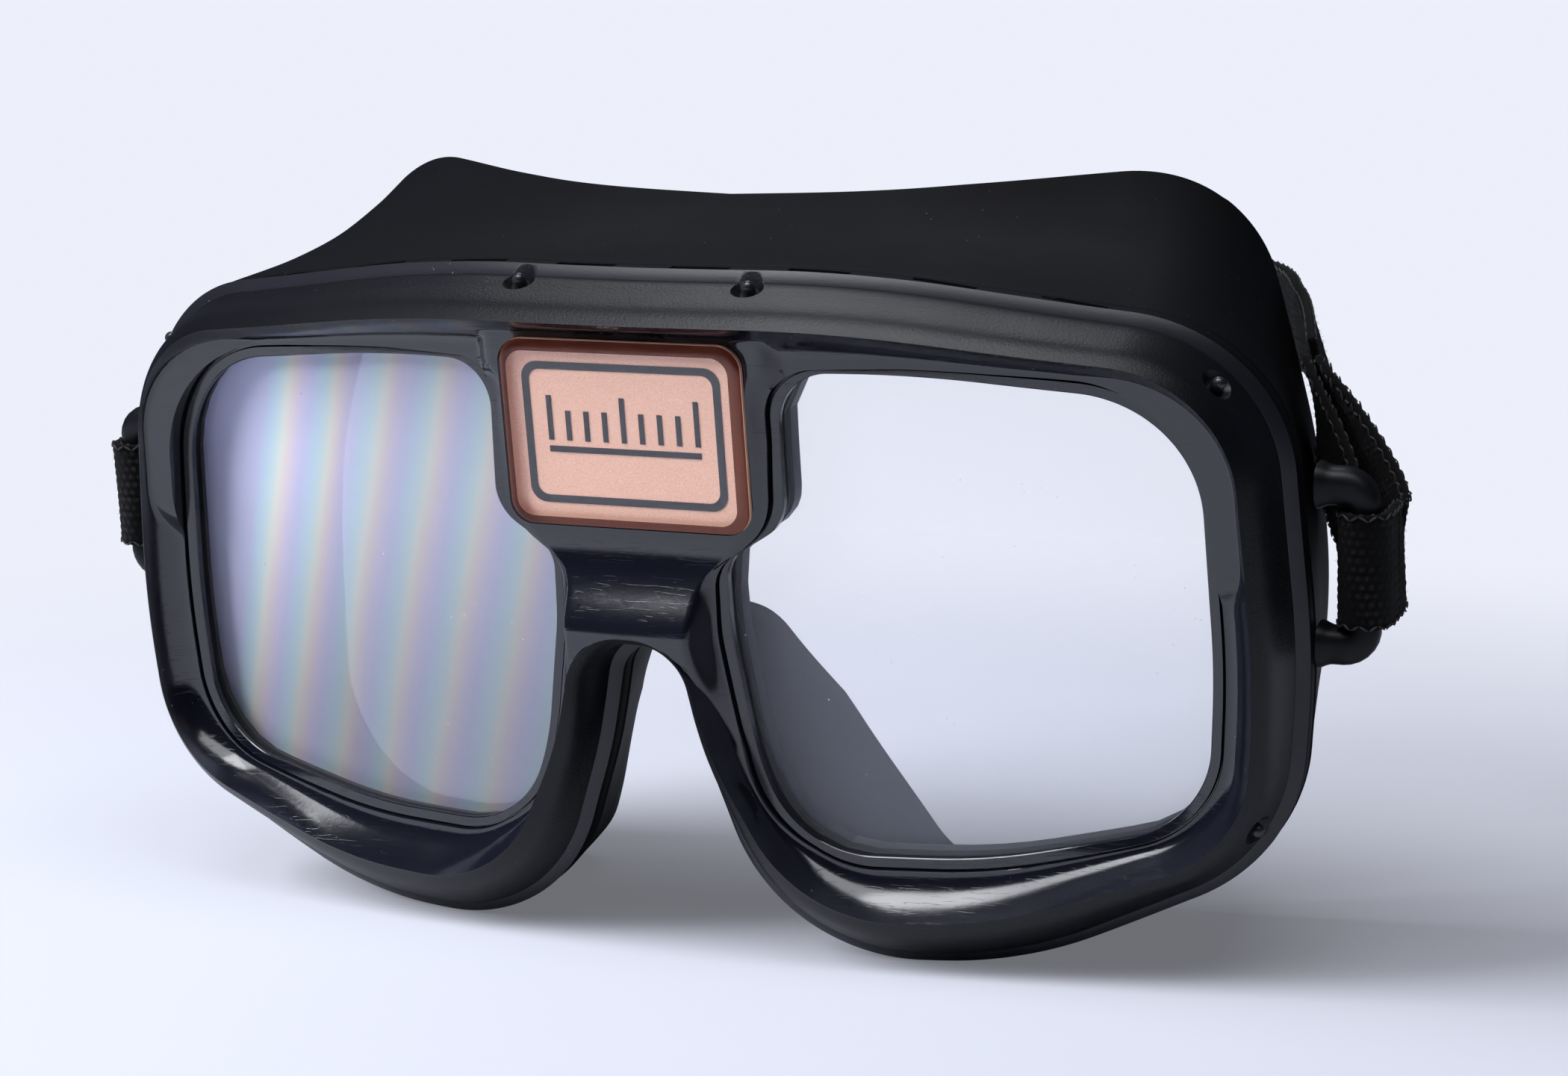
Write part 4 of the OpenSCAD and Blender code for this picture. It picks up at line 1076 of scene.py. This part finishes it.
def legPieces(side):
    made = []
    gap = (strap["thick"] + strap["gap"]) / 2
    for layer in (-1, 1):
        start = bar + [layer * strap["bendR"], strap["tail"] + strap["gap"], 0]
        bent = start + [0, strap["straight"], 0]
        end = join + [layer * gap, 0, 0]
        path = bezier(bent, bent + [0, 6, 0], end - unit([-0.2, 0.78, 0.6]) * 7.7, end, np.linspace(0, 1, 20))
        made.append(bandMesh("layer", np.concatenate([[start], path]), 0, strap["joinLean"], side))
    run = unit([-0.23, 0.89, 0.4])
    start = join + run * (strap["thick"] - strap["gap"] / 2)
    end = sideStart - sideRun * 0.42
    path = bezier(start, start + run * 9.6, end - unit([-0.77, 0.64, -0.06]) * 18, end, np.linspace(0, 1, 61))
    made.append(bandMesh("layer", path[:31], strap["joinLean"], strap["rimLean"], side))
    made.append(bandMesh("layer", path[30:], strap["rimLean"], 0, side))
    return made


def rearCurve(t):
    return bezier(sideEnd, sideEnd + sideRun * 14, rearMiddle + [22, 0, 0], rearMiddle, t)


for sideName, side in sides:
    wrap = bandMesh("strapWrap_" + sideName, wrapPath(), side=side)
    finished(wrap, "strap_wrap_" + sideName, "goggles")
    leg = joined("strapLeg_" + sideName, legPieces(side))
    finished(leg, "strap_leg_" + sideName)
    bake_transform(leg)
    straight = bandMesh("strapSide_" + sideName, [sideStart, sideEnd], side=side)
    finished(straight, "strap_side_" + sideName, "strap")
    elasticPath = rearCurve(np.linspace(strap["elasticStart"], strap["elasticStop"], 40))
    elastic = bandMesh("strapElastic_" + sideName, elasticPath, side=side, edges=False)
    finished(elastic, "strap_elastic_" + sideName)
    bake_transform(elastic)
rearHalf = rearCurve(np.linspace(strap["rearStart"], 1, 60))
rear = bandMesh("strapRear", np.concatenate([rearHalf, rearHalf[-2::-1] * [-1, 1, 1]]), edges=False)
finished(rear, "strap_rear", "rear_strap")
print("stage: strap")

# Sewn ends: a zigzag of thread across the webbing
tack = {"from": 25.6, "wide": 12, "count": 15, "length": 0.0024, "thickness": 0.00055}
sideUp = unit([0, 0, 1] - sideRun[2] * sideRun)
sideOut = np.cross(sideRun, sideUp)


def tackMesh(side):
    places, aims = [], []
    middle = sideStart + sideRun * tack["from"]
    for k in range(tack["count"]):
        v = tack["wide"] * (k / (tack["count"] - 1) - 0.5) * 0.93
        places.append(middle + sideUp * v + sideOut * (strap["thick"] / 2 + 0.22))
        aims.append(sideRun + sideUp * 0.3 * (1 if k % 2 else -1))
    sewn = stitchPoints("tack", places, aims, side)
    return madeBy(sewn, stitches, Thread=threadBlack, Length=tack["length"], Thickness=tack["thickness"])


tacks = joined("barTacks", [tackMesh(-1), tackMesh(1)])
finished(tacks, "bar_tacks", "strap")
print("stage: tacks")

# Finishes of the solids that stay as they are
keptFinishes = {
    "bezel_pins": pegPlastic, "gasket_left": gasketRubber, "gasket_right": gasketRubber,
    "lens_retainer": retainerPlastic, "badge_plate": copper, "badge_print": ink,
    "slider_left": sliderPlastic, "slider_right": sliderPlastic,
}
for name, mat in keptFinishes.items():
    obj = nodes[name]
    if not obj.material_slots:
        obj.data.materials.append(mat)
    for slot in obj.material_slots:
        slot.material = mat
print("stage: finishes")

# Camera, floor and light
camera = {"place": [195.2, -401.67, 105.12], "azimuth": 22.76, "elevation": 8.74, "lens": 82.0}
data = bpy.data.cameras.new("camera")
data.lens, data.sensor_width = camera["lens"], 36
data.clip_start, data.clip_end = 0.01, 100
cameraObject = linked("camera", data)
az, el = math.radians(camera["azimuth"]), math.radians(camera["elevation"])
back = Vector((math.sin(az) * math.cos(el), -math.cos(az) * math.cos(el), math.sin(el)))
cameraObject.location = Vector(stand(camera["place"])[0])
cameraObject.rotation_mode = "QUATERNION"
cameraObject.rotation_quaternion = (-back).to_track_quat("-Z", "Y")
bpy.context.scene.camera = cameraObject

studio = {
    "pale": (0.845, 0.868, 0.962), "floor": (0.46, 0.47, 0.53), "near": 0.12, "far": 0.33, "paintedShadowLift": 0.18,
    "tableNear": 0.30, "tableEnd": 0.62, "room": (0.55, 0.66, 1.0), "behind": 0.055, "before": 0.012,
    "lamp": (0.93, 0.955, 1.0), "dark": (0.03, 0.03, 0.035),
}


# One where a ray comes from the camera, straight or through glass
def seen(mat):
    rays = node(mat, "LightPath")
    return math2(mat, "MAXIMUM", rays.outputs["Is Camera Ray"], rays.outputs["Is Transmission Ray"])


floorMat = material("floor", studio["floor"], 0.9, spec=0.2)
shader = principled(floorMat)
glow = node(floorMat, "Emission", Color=(*studio["pale"], 1))
away = node(floorMat, "VectorMath", operation="LENGTH")
link(floorMat, objectPoint(floorMat), away.inputs[0])
watched = seen(floorMat)
# Near the goggles only a share of the pale glow shows: painted light that lifts the cast shadows on the floor;
# further out the floor turns into the plain backdrop colour
fade = ranged(floorMat, away.outputs["Value"], studio["near"], studio["far"], studio["paintedShadowLift"], 1, True)
table = ranged(floorMat, away.outputs["Value"], studio["tableNear"], studio["tableEnd"], 0, 1, True)
unseen = math2(floorMat, "MULTIPLY", table, math2(floorMat, "SUBTRACT", 1.0, watched))
shade = colourMix(floorMat, unseen, studio["floor"], studio["dark"])
link(floorMat, shade, shader.inputs["Base Color"])
both = node(floorMat, "MixShader")
link(floorMat, math2(floorMat, "MULTIPLY", fade, watched), both.inputs[0])
link(floorMat, shader.outputs[0], both.inputs[1])
link(floorMat, glow.outputs[0], both.inputs[2])
link(floorMat, both.outputs[0], floorMat.node_tree.nodes["Material Output"].inputs["Surface"])
floorMesh = bpy.data.meshes.new("floor")
floorMesh.from_pydata([(-40, -40, 0), (40, -40, 0), (40, 40, 0), (-40, 40, 0)], [], [(0, 1, 2, 3)])
floorMesh.materials.append(floorMat)
floorObject = linked("floor", floorMesh)
floorObject.location.z = -0.0002

world = bpy.data.worlds.new("studio")
bpy.context.scene.world = world
world.use_nodes = True
world.node_tree.nodes.clear()
out = node(world, "OutputWorld")
ground = node(world, "Background")
coord = node(world, "TexCoord")
parts = node(world, "SeparateXYZ")
link(world, coord.outputs["Generated"], parts.inputs[0])
behind = ranged(world, parts.outputs["Y"], -0.15, 0.7, studio["before"], studio["behind"], True)
room = colourMix(world, behind, (0.0, 0.0, 0.0), studio["room"])
link(world, colourMix(world, seen(world), room, studio["pale"]), ground.inputs["Color"])
link(world, ground.outputs[0], out.inputs["Surface"])

lamps = {
    "overhead": {"place": (0.13, -0.40, 1.10), "aim": (0.05, -0.05, 0.03), "size": (1.0, 0.70), "power": 8},
    "sheen": {"place": (-0.27, -0.44, 1.10), "aim": (0.0, -0.02, 0.02), "size": (0.44, 0.84), "power": 7},
    "back": {"place": (-0.32, 0.68, 1.05), "aim": (0.02, 0.02, 0.08), "size": (0.50, 0.36), "power": 2.1},
    "key": {"place": (-0.80, -0.50, 0.70), "aim": (0, 0, 0.04), "size": (0.8, 0.8), "power": 34},
}
for name, lamp in lamps.items():
    light = bpy.data.lights.new(name, "AREA")
    light.shape = "RECTANGLE"
    light.size, light.size_y = lamp["size"]
    light.energy = lamp["power"]
    light.color = studio["lamp"]
    obj = linked(name, light)
    obj.location = lamp["place"]
    obj.visible_glossy = name != "key"
    obj.visible_diffuse = name in ("overhead", "key")
    obj.rotation_mode = "QUATERNION"
    obj.rotation_quaternion = (Vector(lamp["aim"]) - Vector(lamp["place"])).to_track_quat("-Z", "Y")
bpy.context.scene.view_settings.view_transform = "Standard"
print("stage: studio")

bpy.context.view_layer.update()
